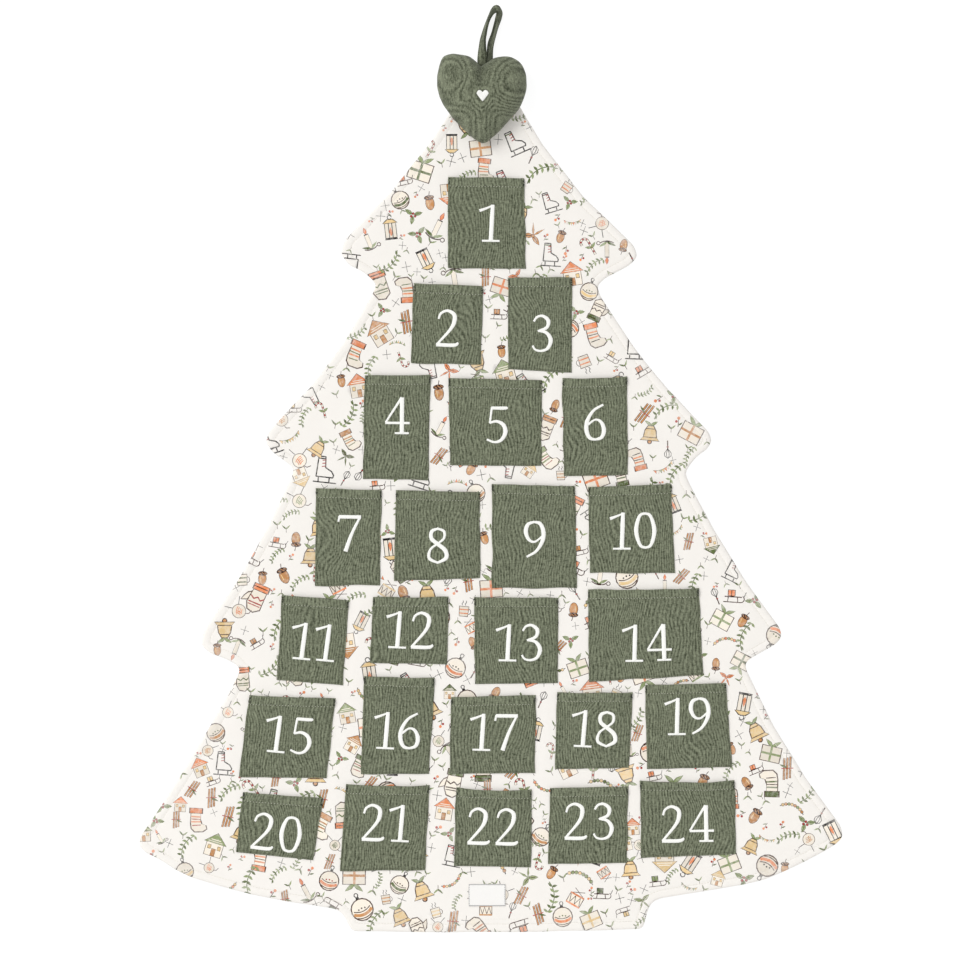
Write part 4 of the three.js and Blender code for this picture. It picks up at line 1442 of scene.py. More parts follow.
# %% [markdown]
# ## The pockets
#
# A pocket is a patch sewn down at its sides and bottom. Its corners come from the table
# above, its edges wander a little, and it comes forward over a soft gusset at each side,
# more and more towards the mouth. The top is folded over into a hem, which is twice as
# thick and ends in a row of stitches. Some mouths sag in the middle, by the millimetres
# listed under their number. The mesh is built around the pocket's own middle, so that its
# weave and streaks are laid out in its own directions.

# %% Pocket shape
pocket_gap = 0.25
mouth_sag = {6: 1.1, 14: 0.9, 15: 0.6, 18: 1.4, 21: 1.7, 22: 2.6, 24: 2.4}
least_sag = 0.1
side_wander = 1.1
end_wander = 1.2
pocket_step = 2.4
hem_thick = 1.5
hem_deep = 10
hem_row_up = 0.3
pocket_puff = 2.1
pocket_seam = 3
gusset_width = 10
edge_stitch_inset = 1.9
near_edge = np.array([0, 0.35, 0.8, 1.4, 1.9, 2.4, 3.1, 4.2, 5.6, 7.2, 9, 11, 13])
near_mouth = np.array([0, 0.3, 0.8, 1.6, 2.8, 4.2, 5.8, 7.4, 8.7, 9.4, 9.8, 10.2, 10.9, 12])


def shares_between(size, first, last, step):
    """Shares of a length: given distances at both ends and even steps between."""
    middle = np.arange(first[-1] + step, size - last[-1] - step / 2, step)
    return np.concatenate([first, middle, (size - last)[::-1]]) / size


def pocket_grid(number):
    """Local points of the outer side, rows from the bottom up, with distances to the edges."""
    bl, br = pockets[number]["local"][3], pockets[number]["local"][2]
    tl, tr = pockets[number]["local"][0], pockets[number]["local"][1]
    width = (np.linalg.norm(br - bl) + np.linalg.norm(tr - tl)) / 2
    height = (np.linalg.norm(tl - bl) + np.linalg.norm(tr - br)) / 2
    u, v = np.meshgrid(
        shares_between(width, near_edge, near_edge, pocket_step),
        shares_between(height, near_edge, near_mouth, pocket_step),
    )
    u3, v3 = u[..., None], v[..., None]
    flat = (bl * (1 - u3) + br * u3) * (1 - v3) + (tl * (1 - u3) + tr * u3) * v3
    waves = ripple(np.stack([v.ravel() * height, (u.ravel() > 0.5) * 90.0], axis=1), 24, number)
    flat[..., 0] += side_wander * waves.reshape(u.shape) * np.abs(2 * u - 1) ** 3
    waves = ripple(np.stack([u.ravel() * width, (v.ravel() > 0.5) * 90.0], axis=1), 30, number + 50)
    flat[..., 1] += end_wander * waves.reshape(u.shape) * np.abs(2 * v - 1) ** 3
    flat[..., 1] -= mouth_sag.get(number, least_sag) * (1 - (2 * u - 1) ** 2) * v ** 6
    return flat, u * width, v * height, width, height


def pocket_relief(number, flat, x, z, width, height):
    """How far the inner side stands out from the tree's cloth."""
    side = np.minimum(x, width - x)
    gusset = soft_step((side - pocket_seam + 1) / gusset_width)
    rise = np.clip((z - pocket_seam) / (height - pocket_seam), 0, 1)
    depth = pocket_gap + pocket_puff * gusset * rise ** 1.05
    places = flat.reshape(-1, 2)
    folds = ripple(places * (1, 0.45), 17, number * 1.7).reshape(x.shape)
    soft = ripple(places, 34, number * 2.3).reshape(x.shape)
    loose = soft_step((side - 2.5) / 9) * soft_step((z - 2.5) / 9)
    depth += loose * (0.3 * folds + 0.4 * soft + 0.2)
    pull = np.sin(z / 6.2 + number) * bump_at(side - 5, 3.2)
    pull = pull + np.sin(x / 6.6 + number) * bump_at(z - 5, 3.2)
    return np.maximum(depth + 0.14 * pull, pocket_gap)


def pocket_thickness(x, z, width, height):
    side = np.minimum(np.minimum(x, width - x), z)
    folded = soft_step((7.5 - side) / 0.8) * 0.35
    hem = soft_step((z - (height - hem_deep)) / 0.7) * (hem_thick - cloth_thick)
    edge = np.minimum(side, height - z)
    rounded = np.sqrt(1 - (1 - np.minimum(edge / 0.9, 1)) ** 2)
    seam = 0.3 * bump_at(side - edge_stitch_inset, 0.7) * (z < height - 1)
    hem_row = 0.22 * bump_at(z - (height - hem_deep + hem_row_up), 0.8)
    return (cloth_thick + folded + hem) * (0.2 + 0.8 * rounded) - seam - hem_row


def pocket_place(number):
    """The pocket's own directions and middle, on the tree's cloth."""
    middle = pockets[number]["middle"]
    turn = Matrix.Rotation(-pockets[number]["tilt"], 4, "Y")
    return Matrix.Translation(Vector((middle[0], -cloth_face, middle[1])) * mm) @ turn


def sewn_pocket(number, finish):
    flat, x, z, width, height = pocket_grid(number)
    inner_depth = pocket_relief(number, flat, x, z, width, height)
    outer_depth = inner_depth + pocket_thickness(x, z, width, height)
    rows, columns = x.shape
    outer = np.insert(flat.reshape(-1, 2), 1, -outer_depth.ravel(), axis=1)
    inner = np.insert(flat.reshape(-1, 2), 1, -inner_depth.ravel(), axis=1)
    faces = closed_sheet_faces(rows, columns)
    name = f"pocket_cloth_{number:02d}"
    piece = new_piece(name, np.vstack([outer, inner]), faces, finish, pocket_place(number))
    store(piece, "hem", np.tile((z > height - hem_deep + 0.2).ravel(), 2))
    dice = random.Random(number * 7)
    near, far = (dice.uniform(-6, 6), dice.uniform(-10, 4)), (dice.uniform(-25, 25), dice.uniform(-30, 30))
    rises = dice.choice((-1.9, 1.9)), dice.choice((-1.1, 1.1))
    bend_streaks(piece, lambda x, z: hill(x, z, near, 22, 30, rises[0]) + hill(x, z, far, 14, 20, rises[1]))
    carried_by(piece, "tree", "green_canvas", f"pocket_{number:02d}")
    pockets[number].update(outer=outer.reshape(rows, columns, 3), x=x, z=z, width=width, height=height)
    return piece


pocket_cloths = {}
for number in pocket_numbers:
    green_canvas = green_cloth(f"green_canvas_{number:02d}", seed=number * 0.61)
    pocket_cloths[number] = sewn_pocket(number, green_canvas)
print(len(pocket_cloths), "pockets of about", len(pocket_cloths[1].data.polygons), "faces")

# %% [markdown]
# ## Sewing the pockets on
#
# Green thread runs close along both sides and the bottom, and a row in a lighter one holds
# the hem. At both ends of the mouth the thread goes over and over, which leaves small tufts;
# their very dark thread is partly painted shade among the windings. Every stitch is found on
# the pocket's own grid, so it lies on its surface.


# %% Pocket stitches
seam_stitch = (2.6, 2.1)
hem_stitch = (3.2, 1.2)
seam_radius = 0.24
hem_radius = 0.46
tuft_radius = 0.48


def on_pocket(number, x, z):
    """Local points on a pocket's surface, at distances from its left and bottom edges."""
    pocket = pockets[number]
    columns, rows = pocket["x"][0], pocket["z"][:, 0]
    c = np.clip(np.searchsorted(columns, x) - 1, 0, len(columns) - 2)
    r = np.clip(np.searchsorted(rows, z) - 1, 0, len(rows) - 2)
    s = ((x - columns[c]) / (columns[c + 1] - columns[c]))[:, None]
    t = ((z - rows[r]) / (rows[r + 1] - rows[r]))[:, None]
    outer = pocket["outer"]
    low = outer[r, c] * (1 - s) + outer[r, c + 1] * s
    high = outer[r + 1, c] * (1 - s) + outer[r + 1, c + 1] * s
    return low * (1 - t) + high * t


def in_frame(number, points):
    """Local points of a pocket as points in mm in the shared frame."""
    place = np.array(pocket_place(number))
    return points @ place[:3, :3].T + place[:3, 3] / mm


def edge_rows(number):
    """Stitches down one side, along the bottom and up the other side."""
    inset, width, height = edge_stitch_inset, pockets[number]["width"], pockets[number]["height"]
    left, right, top = inset, width - inset, height - 1.2
    edge = np.array([(left, top), (left, inset), (right, inset), (right, top)])
    return stitches_along(edge, *seam_stitch)


def hem_rows(number):
    inset, width = edge_stitch_inset, pockets[number]["width"]
    hem_z = pockets[number]["height"] - hem_deep + hem_row_up
    return stitches_along(np.array([(inset, hem_z), (width - inset, hem_z)]), *hem_stitch)


def corner_tufts(number):
    """Threads sewn over and over at both ends of the mouth."""
    dice = random.Random(number)
    width, height = pockets[number]["width"], pockets[number]["height"]
    starts, ends = [], []
    for x in (1.0, width - 1.0):
        for _ in range(dice.randint(6, 11)):
            a = (x + dice.uniform(-0.8, 0.8), height - dice.uniform(0.8, 7.5))
            starts.append(a)
            ends.append((a[0] + dice.uniform(-0.4, 0.4), a[1] - dice.uniform(1.0, 2.0)))
    return np.array(starts), np.array(ends)


def sewn_rows(name, maker, radius, finish):
    """One kind of stitch on all the pockets, as one piece."""
    starts, ends = [], []
    for number in pocket_numbers:
        for points, found in zip(maker(number), (starts, ends)):
            found.append(in_frame(number, on_pocket(number, points[:, 0], points[:, 1])))
    starts, ends = np.vstack(starts), np.vstack(ends)
    rows = stitch_mesh(name, starts, ends, toward_viewer, radius, finish)
    print(name, len(starts), "stitches")
    carried_by(rows, "tree", "green_thread")


sewn_rows("pocket_stitching", edge_rows, seam_radius, green_thread)
sewn_rows("hem_stitching", hem_rows, hem_radius, hem_thread)
# The tufts' very dark thread is partly painted shade among the windings.
sewn_rows("tuft_stitching", corner_tufts, tuft_radius, dark_thread_painted_shade)

# %% [markdown]
# ## Embroidered numbers
#
# A digit is a few satin-stitched strokes. A stroke is a line of points with a width at
# each, all in shares of the digit's height. Its threads lie side by side across it, so it
# is crowned, finely ribbed, and a little ragged along both sides.

# %% Digit table
digit_high = 40
digit_gap = 4
digit_shares = {
    0: (0.6, [
        [(0.34, 0.97, 0.05), (0.16, 0.89, 0.08), (0.06, 0.5, 0.11), (0.16, 0.11, 0.08), (0.34, 0.03, 0.05)],
        [(0.27, 0.97, 0.05), (0.45, 0.89, 0.08), (0.55, 0.5, 0.11), (0.45, 0.11, 0.08), (0.27, 0.03, 0.05)],
    ]),
    1: (0.54, [
        [(0.36, 1.0, 0.09), (0.34, 0.7, 0.11), (0.3, 0.02, 0.11)],
        [(0.38, 0.985, 0.04), (0.2, 0.91, 0.055), (0.0, 0.84, 0.075)],
        [(0.06, 0.03, 0.05), (0.54, 0.02, 0.05)],
    ]),
    2: (0.66, [
        [(0.07, 0.74, 0.05), (0.13, 0.89, 0.06), (0.3, 0.97, 0.07), (0.48, 0.88, 0.1),
         (0.5, 0.7, 0.11), (0.4, 0.47, 0.08), (0.04, 0.04, 0.05)],
        [(0.03, 0.045, 0.09), (0.5, 0.045, 0.09), (0.63, 0.11, 0.05)],
    ]),
    3: (0.6, [
        [(0.08, 0.82, 0.05), (0.17, 0.94, 0.06), (0.32, 0.97, 0.07), (0.47, 0.85, 0.1),
         (0.43, 0.66, 0.08), (0.19, 0.56, 0.05)],
        [(0.2, 0.57, 0.05), (0.42, 0.52, 0.08), (0.54, 0.33, 0.11), (0.47, 0.11, 0.08),
         (0.3, 0.03, 0.06), (0.13, 0.06, 0.05), (0.05, 0.17, 0.05)],
    ]),
    4: (0.68, [
        [(0.46, 0.99, 0.06), (0.03, 0.31, 0.05)],
        [(0.02, 0.3, 0.06), (0.68, 0.3, 0.06)],
        [(0.47, 0.99, 0.11), (0.47, 0.02, 0.11)],
        [(0.28, 0.025, 0.05), (0.66, 0.025, 0.05)],
    ]),
    5: (0.64, [
        [(0.17, 0.95, 0.08), (0.54, 0.95, 0.08), (0.6, 0.98, 0.04)],
        [(0.18, 0.97, 0.05), (0.13, 0.54, 0.05)],
        [(0.12, 0.55, 0.05), (0.32, 0.59, 0.07), (0.5, 0.49, 0.1), (0.55, 0.29, 0.11),
         (0.44, 0.09, 0.08), (0.26, 0.03, 0.06), (0.05, 0.1, 0.05)],
    ]),
    6: (0.6, [
        [(0.52, 0.98, 0.05), (0.26, 0.82, 0.07), (0.09, 0.54, 0.1), (0.07, 0.28, 0.11),
         (0.16, 0.08, 0.09), (0.34, 0.03, 0.05)],
        [(0.3, 0.03, 0.05), (0.48, 0.1, 0.09), (0.54, 0.3, 0.11), (0.46, 0.51, 0.08),
         (0.3, 0.57, 0.05), (0.09, 0.42, 0.05)],
    ]),
    7: (0.66, [
        [(0.05, 0.945, 0.09), (0.64, 0.945, 0.09)],
        [(0.06, 0.97, 0.05), (0.03, 0.81, 0.05)],
        [(0.62, 0.96, 0.05), (0.4, 0.5, 0.08), (0.23, 0.01, 0.11)],
    ]),
    8: (0.6, [
        [(0.33, 0.97, 0.05), (0.14, 0.89, 0.09), (0.13, 0.69, 0.1), (0.32, 0.53, 0.1),
         (0.5, 0.37, 0.11), (0.52, 0.17, 0.1), (0.28, 0.03, 0.05)],
        [(0.27, 0.97, 0.05), (0.46, 0.89, 0.07), (0.46, 0.7, 0.06), (0.3, 0.56, 0.05),
         (0.1, 0.4, 0.06), (0.07, 0.16, 0.08), (0.32, 0.03, 0.05)],
    ]),
}
six_width, six_strokes = digit_shares[6]
digit_shares[9] = (six_width, [[(six_width - x, 1 - z, w) for x, z, w in stroke] for stroke in six_strokes])
print("digits:", sorted(digit_shares))

# %% [markdown]
# Each stroke becomes a closed ribbon: at every thread a row of points crosses it, high in
# the middle. The whole number is laid on its pocket, point by point, so it follows every
# fold of the cloth beneath.

# %% Embroidery
thread_pitch = 0.55
satin_height = 0.85
across_stroke = np.array([-1, -0.82, -0.5, 0, 0.5, 0.82, 1])


def smooth_line(points, step):
    """A smooth curve through points, with even steps."""
    p = np.asarray(points, float)
    p = np.vstack([2 * p[0] - p[1], p, 2 * p[-1] - p[-2]])
    t = np.linspace(0, 1, 12, endpoint=False)[:, None]
    spans = [
        0.5 * (2 * b + (c - a) * t + (2 * a - 5 * b + 4 * c - d) * t**2 + (3 * b - a - 3 * c + d) * t**3)
        for a, b, c, d in zip(p, p[1:], p[2:], p[3:])
    ]
    return spaced(np.vstack([*spans, p[-2:-1]]), step)


def satin_stroke(stroke, left, dice):
    """Flat places and heights of one stroke, as rows across it: the crown, then the base."""
    line = smooth_line(np.array(stroke) * digit_high, thread_pitch)
    centre, width = line[:, :2] + (left, -digit_high / 2), line[:, 2]
    along = np.gradient(centre, axis=0)
    along /= np.linalg.norm(along, axis=1)[:, None]
    side = np.stack([along[:, 1], -along[:, 0]], axis=1)
    odd = np.arange(len(line)) % 2
    ragged = np.array([dice.uniform(-0.12, 0.12) for _ in line])
    half = (width / 2 + 0.12 + ragged)[:, None, None]
    flat = centre[:, None, :] + across_stroke[None, :, None] * side[:, None, :] * half
    crown = np.sqrt(np.clip(1 - across_stroke**2 * 0.97, 0, 1))[None, :]
    tall = satin_height * np.clip(width / 4.4, 0.62, 1)[:, None]
    height = tall * crown * (1 - 0.16 * odd[:, None])
    return flat, height


def number_shape(number, dice):
    digits = [int(digit) for digit in str(number)]
    total = sum(digit_shares[d][0] for d in digits) * digit_high + digit_gap * (len(digits) - 1)
    left = -total / 2
    strokes = []
    for digit in digits:
        width, table = digit_shares[digit]
        strokes += [satin_stroke(stroke, left, dice) for stroke in table]
        left += width * digit_high + digit_gap
    return strokes


def cad_number_middle(number):
    """The middle of the CAD number, in the pocket's own directions."""
    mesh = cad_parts[f"number_{number:02d}"].data
    back = pocket_place(number).inverted()
    places = np.array([(back @ vertex.co) / mm for vertex in mesh.vertices])
    return (places.min(0) + places.max(0))[[0, 2]] / 2


def embroidered(number):
    dice = random.Random(100 + number)
    strokes = number_shape(number, dice)
    everything = np.vstack([flat.reshape(-1, 2) for flat, _ in strokes])
    shift = cad_number_middle(number) - (everything.min(0) + everything.max(0)) / 2
    outer = pockets[number]["outer"]
    rows, columns = outer.shape[:2]
    grid = [tuple(f) for f in closed_sheet_faces(rows, columns) if max(f) < rows * columns]
    surface = BVHTree.FromPolygons([Vector(p) for p in outer.reshape(-1, 3)], grid)
    points, faces = [], []
    for flat, height in strokes:
        places = flat + shift
        count, wide = height.shape
        ground = [surface.ray_cast((x, -60, z), (0, 1, 0))[0].y for x, z in places.reshape(-1, 2)]
        ground = np.array(ground).reshape(count, wide)
        top = np.stack([places[..., 0], ground - 0.06 - height, places[..., 1]], axis=2)
        base = np.stack([places[..., 0], ground - 0.03, places[..., 1]], axis=2)
        start = len(points)
        points += [*top.reshape(-1, 3), *base.reshape(-1, 3)]
        faces += [tuple(i + start for i in f) for f in closed_sheet_faces(count, wide)]
    name = f"embroidery_{number:02d}"
    piece = new_piece(name, points, faces, white_thread, pocket_place(number))
    return carried_by(piece, "tree", "white_thread", f"number_{number:02d}")


numbers = {number: embroidered(number) for number in pocket_numbers}
print("number 24 has", len(numbers[24].data.polygons), "faces")

# %% [markdown]
# ## The label
#
# A small bare tape label with a thin woven border is sewn on below the pockets. It curls
# off the cloth a little between its stitches.

# %% Label
label_low, label_high = box_mm("label")
label_size = (label_high - label_low)[[0, 2]]
label_border = (0.3, 1.15)
label_stitch = (2.4, 1.8)
label_thread = 0.22


def sewn_label():
    near = np.array([0, *label_border, 1.9, 3, 5])
    x, z = np.meshgrid(*(shares_between(length, near, near, 2) * length for length in label_size))
    places = np.stack([x.ravel(), z.ravel()], axis=1)
    curl = 0.5 * np.sin(np.pi * z / label_size[1]) * (0.6 + 0.5 * ripple(places, 18, 2.0).reshape(x.shape))
    depth = cloth_face + 0.75 + curl
    flat = places + label_low[[0, 2]]
    outer = np.insert(flat, 1, -(depth + 0.35).ravel(), axis=1)
    inner = np.insert(flat, 1, -depth.ravel(), axis=1)
    faces = closed_sheet_faces(*x.shape)
    label = new_piece("sewn_label", np.vstack([outer, inner]), faces, label_finish)
    ink = []
    for face in label.data.polygons:
        centre = face.center / mm
        edge = min(
            centre.x - label_low[0], label_high[0] - centre.x,
            centre.z - label_low[2], label_high[2] - centre.z,
        )
        line = label_border[0] < edge < label_border[1] and face.normal.y < -0.3
        ink += [(*linear(112, 112, 115)[:3], 0.7 if line else 0.0)] * face.loop_total
    layer = label.data.color_attributes.new("print", "FLOAT_COLOR", "CORNER")
    layer.data.foreach_set("color", np.array(ink).ravel())
    return carried_by(label, "tree", "label_tape", "label")


def label_stitches():
    """Two short upright rows at the label's ends."""
    starts, ends = [], []
    for x in (label_low[0] + 0.8, label_high[0] - 0.8):
        line = np.array([(x, label_low[2] + 1), (x, label_high[2] - 1)])
        first, last = stitches_along(line, *label_stitch)
        starts.append(first)
        ends.append(last)
    face = -(cloth_face + 1.25)
    starts, ends = (np.insert(np.vstack(rows), 1, face, axis=1) for rows in (starts, ends))
    return stitch_mesh("label_stitching", starts, ends, toward_viewer, label_thread, white_thread)


sewn_on_label = sewn_label()
label_row = carried_by(label_stitches(), "tree", "white_thread")
print("label:", np.round(label_size, 1), "mm")

# %% [markdown]
# ## The stuffed heart
#
# Two heart-shaped cloths are sewn together and stuffed. The outline was read off the
# photograph, in its pixels, from the cleft down the left side. Rings of points shrink
# towards the heart's middle, and the crown rises steeply from the seam and levels out. The
# full cloth puckers where it meets the seam and dips below the cleft. On a stuffed form
# the streaks close into rings, one set on each lobe, and run down between.

# %% Heart
heart_seam_y = -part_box("heart_front")[1].y / mm
front_crown = -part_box("heart_front")[0].y / mm - heart_seam_y
back_crown = heart_seam_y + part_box("heart_back")[1].y / mm
heart_edge_pixels = [
    (480.5, 66.5), (477, 62.5), (473, 59), (467, 56), (459, 54.6), (450.5, 54.2), (444, 57),
    (439.5, 65), (437.2, 79), (438.4, 93), (444, 106), (453, 118.5), (462, 128.5), (472, 137.5),
    (480, 142.8), (485, 142.8), (492, 138.5), (502, 128.5), (512, 117.5), (521, 105.5), (525.6, 93),
    (526.4, 80), (523.8, 68.5), (518, 60.8), (509, 57), (499, 57), (491, 60), (485, 64),
]
heart_edge_step = 1.6
heart_rings = 34
heart_reach = 44
heart_cloth_thick = 1.1
heart_play = 0.15
heart_pucker = 0.75
cleft_dent = 2.6


def heart_outline():
    loop = np.array([from_pixel(*pixel) for pixel in heart_edge_pixels])
    line = smooth_line(np.vstack([loop, loop[:1]]), 0.8)[:-1]
    loop = turned_left(spaced(line, heart_edge_step, closed=True))
    return loop + outward(loop) * (0.6 * ripple(loop, 9, 5.0))[:, None]


heart_edge = heart_outline()
heart_middle = (heart_edge.min(0) + heart_edge.max(0)) / 2
heart_origin = Vector((heart_middle[0], -heart_seam_y - heart_play, heart_middle[1])) * mm
heart_place = Matrix.Translation(heart_origin)


def heart_places(inset=0.0):
    """Local ring points from the seam to the middle, and each one's share of the way out."""
    edge = heart_edge - heart_middle
    shares = 1 - np.linspace(0, 1, heart_rings, endpoint=False) ** 1.25
    reach = np.linalg.norm(edge, axis=1)
    rings = [edge * (share * (1 - inset / reach))[:, None] for share in shares]
    return np.array(rings), np.repeat(shares[:, None], len(edge), axis=1)


def heart_crown(share):
    return (1 - share**2.4) ** 0.58


def heart_relief(rings, share, crown, seed):
    """How far each ring point stands out from the seam."""
    count = rings.shape[1]
    along = np.arange(count) * heart_edge_step
    drift = 2.5 * ripple(np.stack([along, along * 0], axis=1), 26, seed)
    pucker = np.sin(2 * np.pi * along / 8.2 + drift)[None, :]
    rough = 0.6 + 0.6 * ripple(np.stack([along, along * 0 + 60], axis=1), 34, seed + 3)[None, :]
    from_seam = (1 - share) * heart_reach
    relief = crown * heart_crown(share)
    relief += heart_pucker * pucker * rough * bump_at(from_seam - 5, 6) * np.minimum(from_seam / 3, 1)
    flat = rings.reshape(-1, 2)
    soft = ripple(flat, 24, seed + 7).reshape(share.shape)
    relief += 0.9 * soft * np.minimum(from_seam / 10, 1)
    below_cleft = bump_at(rings[..., 0] - 1, 5) * bump_at(rings[..., 1] - 26, 13)
    return relief - cleft_dent * below_cleft * np.minimum(from_seam / 6, 1) * crown / 22


def dome(rings, depth):
    """Ring points at those depths, and a last point that closes the middle."""
    points = np.insert(rings.reshape(-1, 2), 1, depth.ravel(), axis=1)
    return np.vstack([points, [[0, points[-rings.shape[1]:, 1].mean(), 0]]])


def ring_faces(rings, count, first, flipped):
    """Faces between rings, closed by a fan round a middle point."""
    faces = []
    for r in range(rings - 1):
        for i in range(count):
            j = (i + 1) % count
            a, b = first + r * count + i, first + r * count + j
            faces.append((a, b, b + count, a + count))
    last, middle = first + (rings - 1) * count, first + rings * count
    faces += [(last + i, last + (i + 1) % count, middle) for i in range(count)]
    return [f[::-1] for f in faces] if flipped else faces


def heart_half(name, crown, side, finish, seed):
    """One cloth of the heart's cover: an outer and an inner surface that meet at the seam."""
    rings, share = heart_places()
    relief = heart_relief(rings, share, crown, seed)
    inner_rings, _ = heart_places(heart_cloth_thick)
    inner_height = np.maximum(relief - heart_cloth_thick, 0)
    outer = dome(rings, side * (relief + heart_play))
    inner = dome(inner_rings, side * (inner_height + heart_play))
    count, second = rings.shape[1], len(outer)
    faces = ring_faces(heart_rings, count, 0, side > 0) + ring_faces(heart_rings, count, second, side < 0)
    for i in range(count):
        j = (i + 1) % count
        rim = (j, i, second + i, second + j)
        faces.append(rim if side < 0 else rim[::-1])
    return new_piece(name, np.vstack([outer, inner]), faces, finish, heart_place)


def heart_course(x, z):
    """The streaks run down below the middle, round the small emblem and round both lobes."""
    down = 4.6 * np.tanh(np.sqrt(x**2 + 9) / 17) * soft_step((12 - z) / 36)
    lobes = hill(x, z, (-36, 24), 19, 25, 3.2) + hill(x, z, (40, 14), 27, 31, -4.2)
    return down + lobes + hill(x, z, (0, 0), 10, 12, -1.5)


heart_green = green_cloth("green_canvas_heart", seed=31.7, bends=0.6, spacing=60)
heart_front = heart_half("heart_cloth_front", front_crown, -1, heart_green, 2.0)
bend_streaks(heart_front, heart_course)
carried_by(heart_front, "heart", "green_canvas", "heart_front")
heart_back = heart_half("heart_cloth_back", back_crown, 1, heart_green, 12.0)
bend_streaks(heart_back, heart_course)
carried_by(heart_back, "heart", "green_canvas", "heart_back")
heart_size = heart_edge.max(0) - heart_edge.min(0)
print("heart:", np.round(heart_size, 1), "mm, crown", round(front_crown, 1), "mm")

# %% [markdown]
# The filling follows the cover from inside. A tiny satin heart is stitched on the front,
# and a few hand stitches behind tie the heart to the tape.


# %% Filling, emblem and ties
stuffing_gap = 0.5
tie_count = 5


def stuffing():
    layers, faces = [], []
    for side, crown, seed in ((-1, front_crown, 2.0), (1, back_crown, 12.0)):
        rings, share = heart_places(heart_cloth_thick + stuffing_gap)
        relief = heart_relief(rings, share, crown, seed) - heart_cloth_thick - stuffing_gap
        relief = np.maximum(relief, 0)
        relief[0] = 0
        first = sum(len(layer) for layer in layers)
        layers.append(dome(rings, side * relief))
        faces += ring_faces(heart_rings, rings.shape[1], first, side > 0)
    return new_piece("heart_stuffing", np.vstack(layers), faces, wadding_finish, heart_place)


def surface_of(piece):
    """A tree to cast rays at a piece, in mm in the shared frame."""
    bpy.context.view_layer.update()
    points = [piece.matrix_world @ vertex.co / mm for vertex in piece.data.vertices]
    return BVHTree.FromPolygons(points, [tuple(face.vertices) for face in piece.data.polygons])


def emblem():
    """A satin heart: threads run up and down, side by side, from its top to its bottom edge."""
    low, high = box_mm("heart_motif")
    size, middle = (high - low)[[0, 2]], ((low + high) / 2)[[0, 2]]
    cover = surface_of(heart_front)
    across = np.arange(-0.5, 0.501, 0.5 / (size[0] / thread_pitch))
    top = np.interp(np.abs(across), [0, 0.14, 0.28, 0.4, 0.5], [0.3, 0.46, 0.49, 0.42, 0.24])
    bottom = np.interp(np.abs(across), [0, 0.12, 0.25, 0.4, 0.5], [-0.52, -0.4, -0.2, 0.0, 0.18])
    rows = []
    for index, (x, low_z, high_z) in enumerate(zip(across, bottom, top)):
        z = (high_z + low_z) / 2 + across_stroke * (high_z - low_z) / 2
        flat = np.stack([np.full(len(z), x * size[0]), z * size[1]], axis=1) + middle
        ground = np.array([cover.ray_cast((px, -90, pz), (0, 1, 0))[0].y for px, pz in flat])
        crown = 0.9 * np.sqrt(1 - across_stroke**2 * 0.97) * (1 - 0.2 * (index % 2))
        rows.append((flat, ground, crown))
    flat, ground, crown = (np.concatenate(part) for part in zip(*rows))
    top_points = np.insert(flat, 1, ground - 0.1 - crown, axis=1)
    base_points = np.insert(flat, 1, ground - 0.04, axis=1)
    faces = [f[::-1] for f in closed_sheet_faces(len(rows), len(across_stroke))]
    return new_piece("heart_emblem", np.vstack([top_points, base_points]), faces, white_thread)


def ties():
    """Hand stitches from the tape to the heart's back, side by side."""
    low, high = box_mm("heart_tack")
    middle = (low + high) / 2
    starts, ends = [], []
    for index, z in enumerate(np.linspace(low[2] + 0.4, high[2] - 0.4, tie_count)):
        rise = 0.25 * (-1) ** index
        starts.append((low[0], middle[1] + rise, z))
        ends.append((high[0], middle[1] - rise, z + 0.3))
    radius = min(0.6, (high[1] - low[1]) / 4)
    return stitch_mesh("heart_ties", starts, ends, toward_viewer, radius, green_thread)


heart_stuffing = carried_by(stuffing(), "heart", "wadding", "heart_filling")
heart_emblem = carried_by(emblem(), "heart", "white_thread", "heart_motif")
carried_by(ties(), "heart", "green_thread", "heart_tack")
print("emblem:", len(heart_emblem.data.polygons), "faces")

# %% [markdown]
# ## The tape
#
# One length of tape, folded lengthwise and sewn along its open edge, makes the loop. It
# starts in the tree's top seam, rises, turns its edge to the viewer as it goes over the
# hook, and comes down again. Painted shade darkens the edge inside the loop, and the rows of
# stitches are in dark thread, which paints more shade. Each point of its route is a pixel of
# the photograph, and the degrees that its width is turned and leans.
# Below the last one both legs run hidden into the seam, one on the other.

# %% Tape
tape_wide = 11
tape_thick = 1.1
loop_pixels = [
    (482.4, 62, 6, 0), (482.3, 54, 29, 0), (482.4, 47.6, 48, 0), (482.9, 40, 61, 0), (484.4, 33, 68, 0),
    (486.0, 27, 74, 0), (488.0, 21, 78, 0), (490.4, 15.5, 80, -12), (493.0, 11.4, 84, -32),
    (496.7, 8.9, 92, -47), (499.4, 12.2, 118, -9), (498.5, 18, 122, 0), (496.4, 25, 116, 0),
    (494.5, 31.6, 114, 0), (493.2, 35.8, 116, 0), (491.3, 41.7, 121, 0), (490.3, 47, 122, 0),
    (489.9, 52, 123, 0), (489.6, 58, 128, 0),
]
loop_top = 9
leg_spread = 2.42
seen_drop = 57
hidden_drops = (64, 72, 79, 84.5, 88)
legs_close_from = 58
legs_close_over = 21
layer_offset = 0.62
angle_weight = 12
tape_step = 1.2
# Painted shade: a stored hem value far below zero darkens the tape's inner edge, a little less on the
# falling leg.
inner_edge_painted_shade = -9
falling_leg_shade_share = 0.8


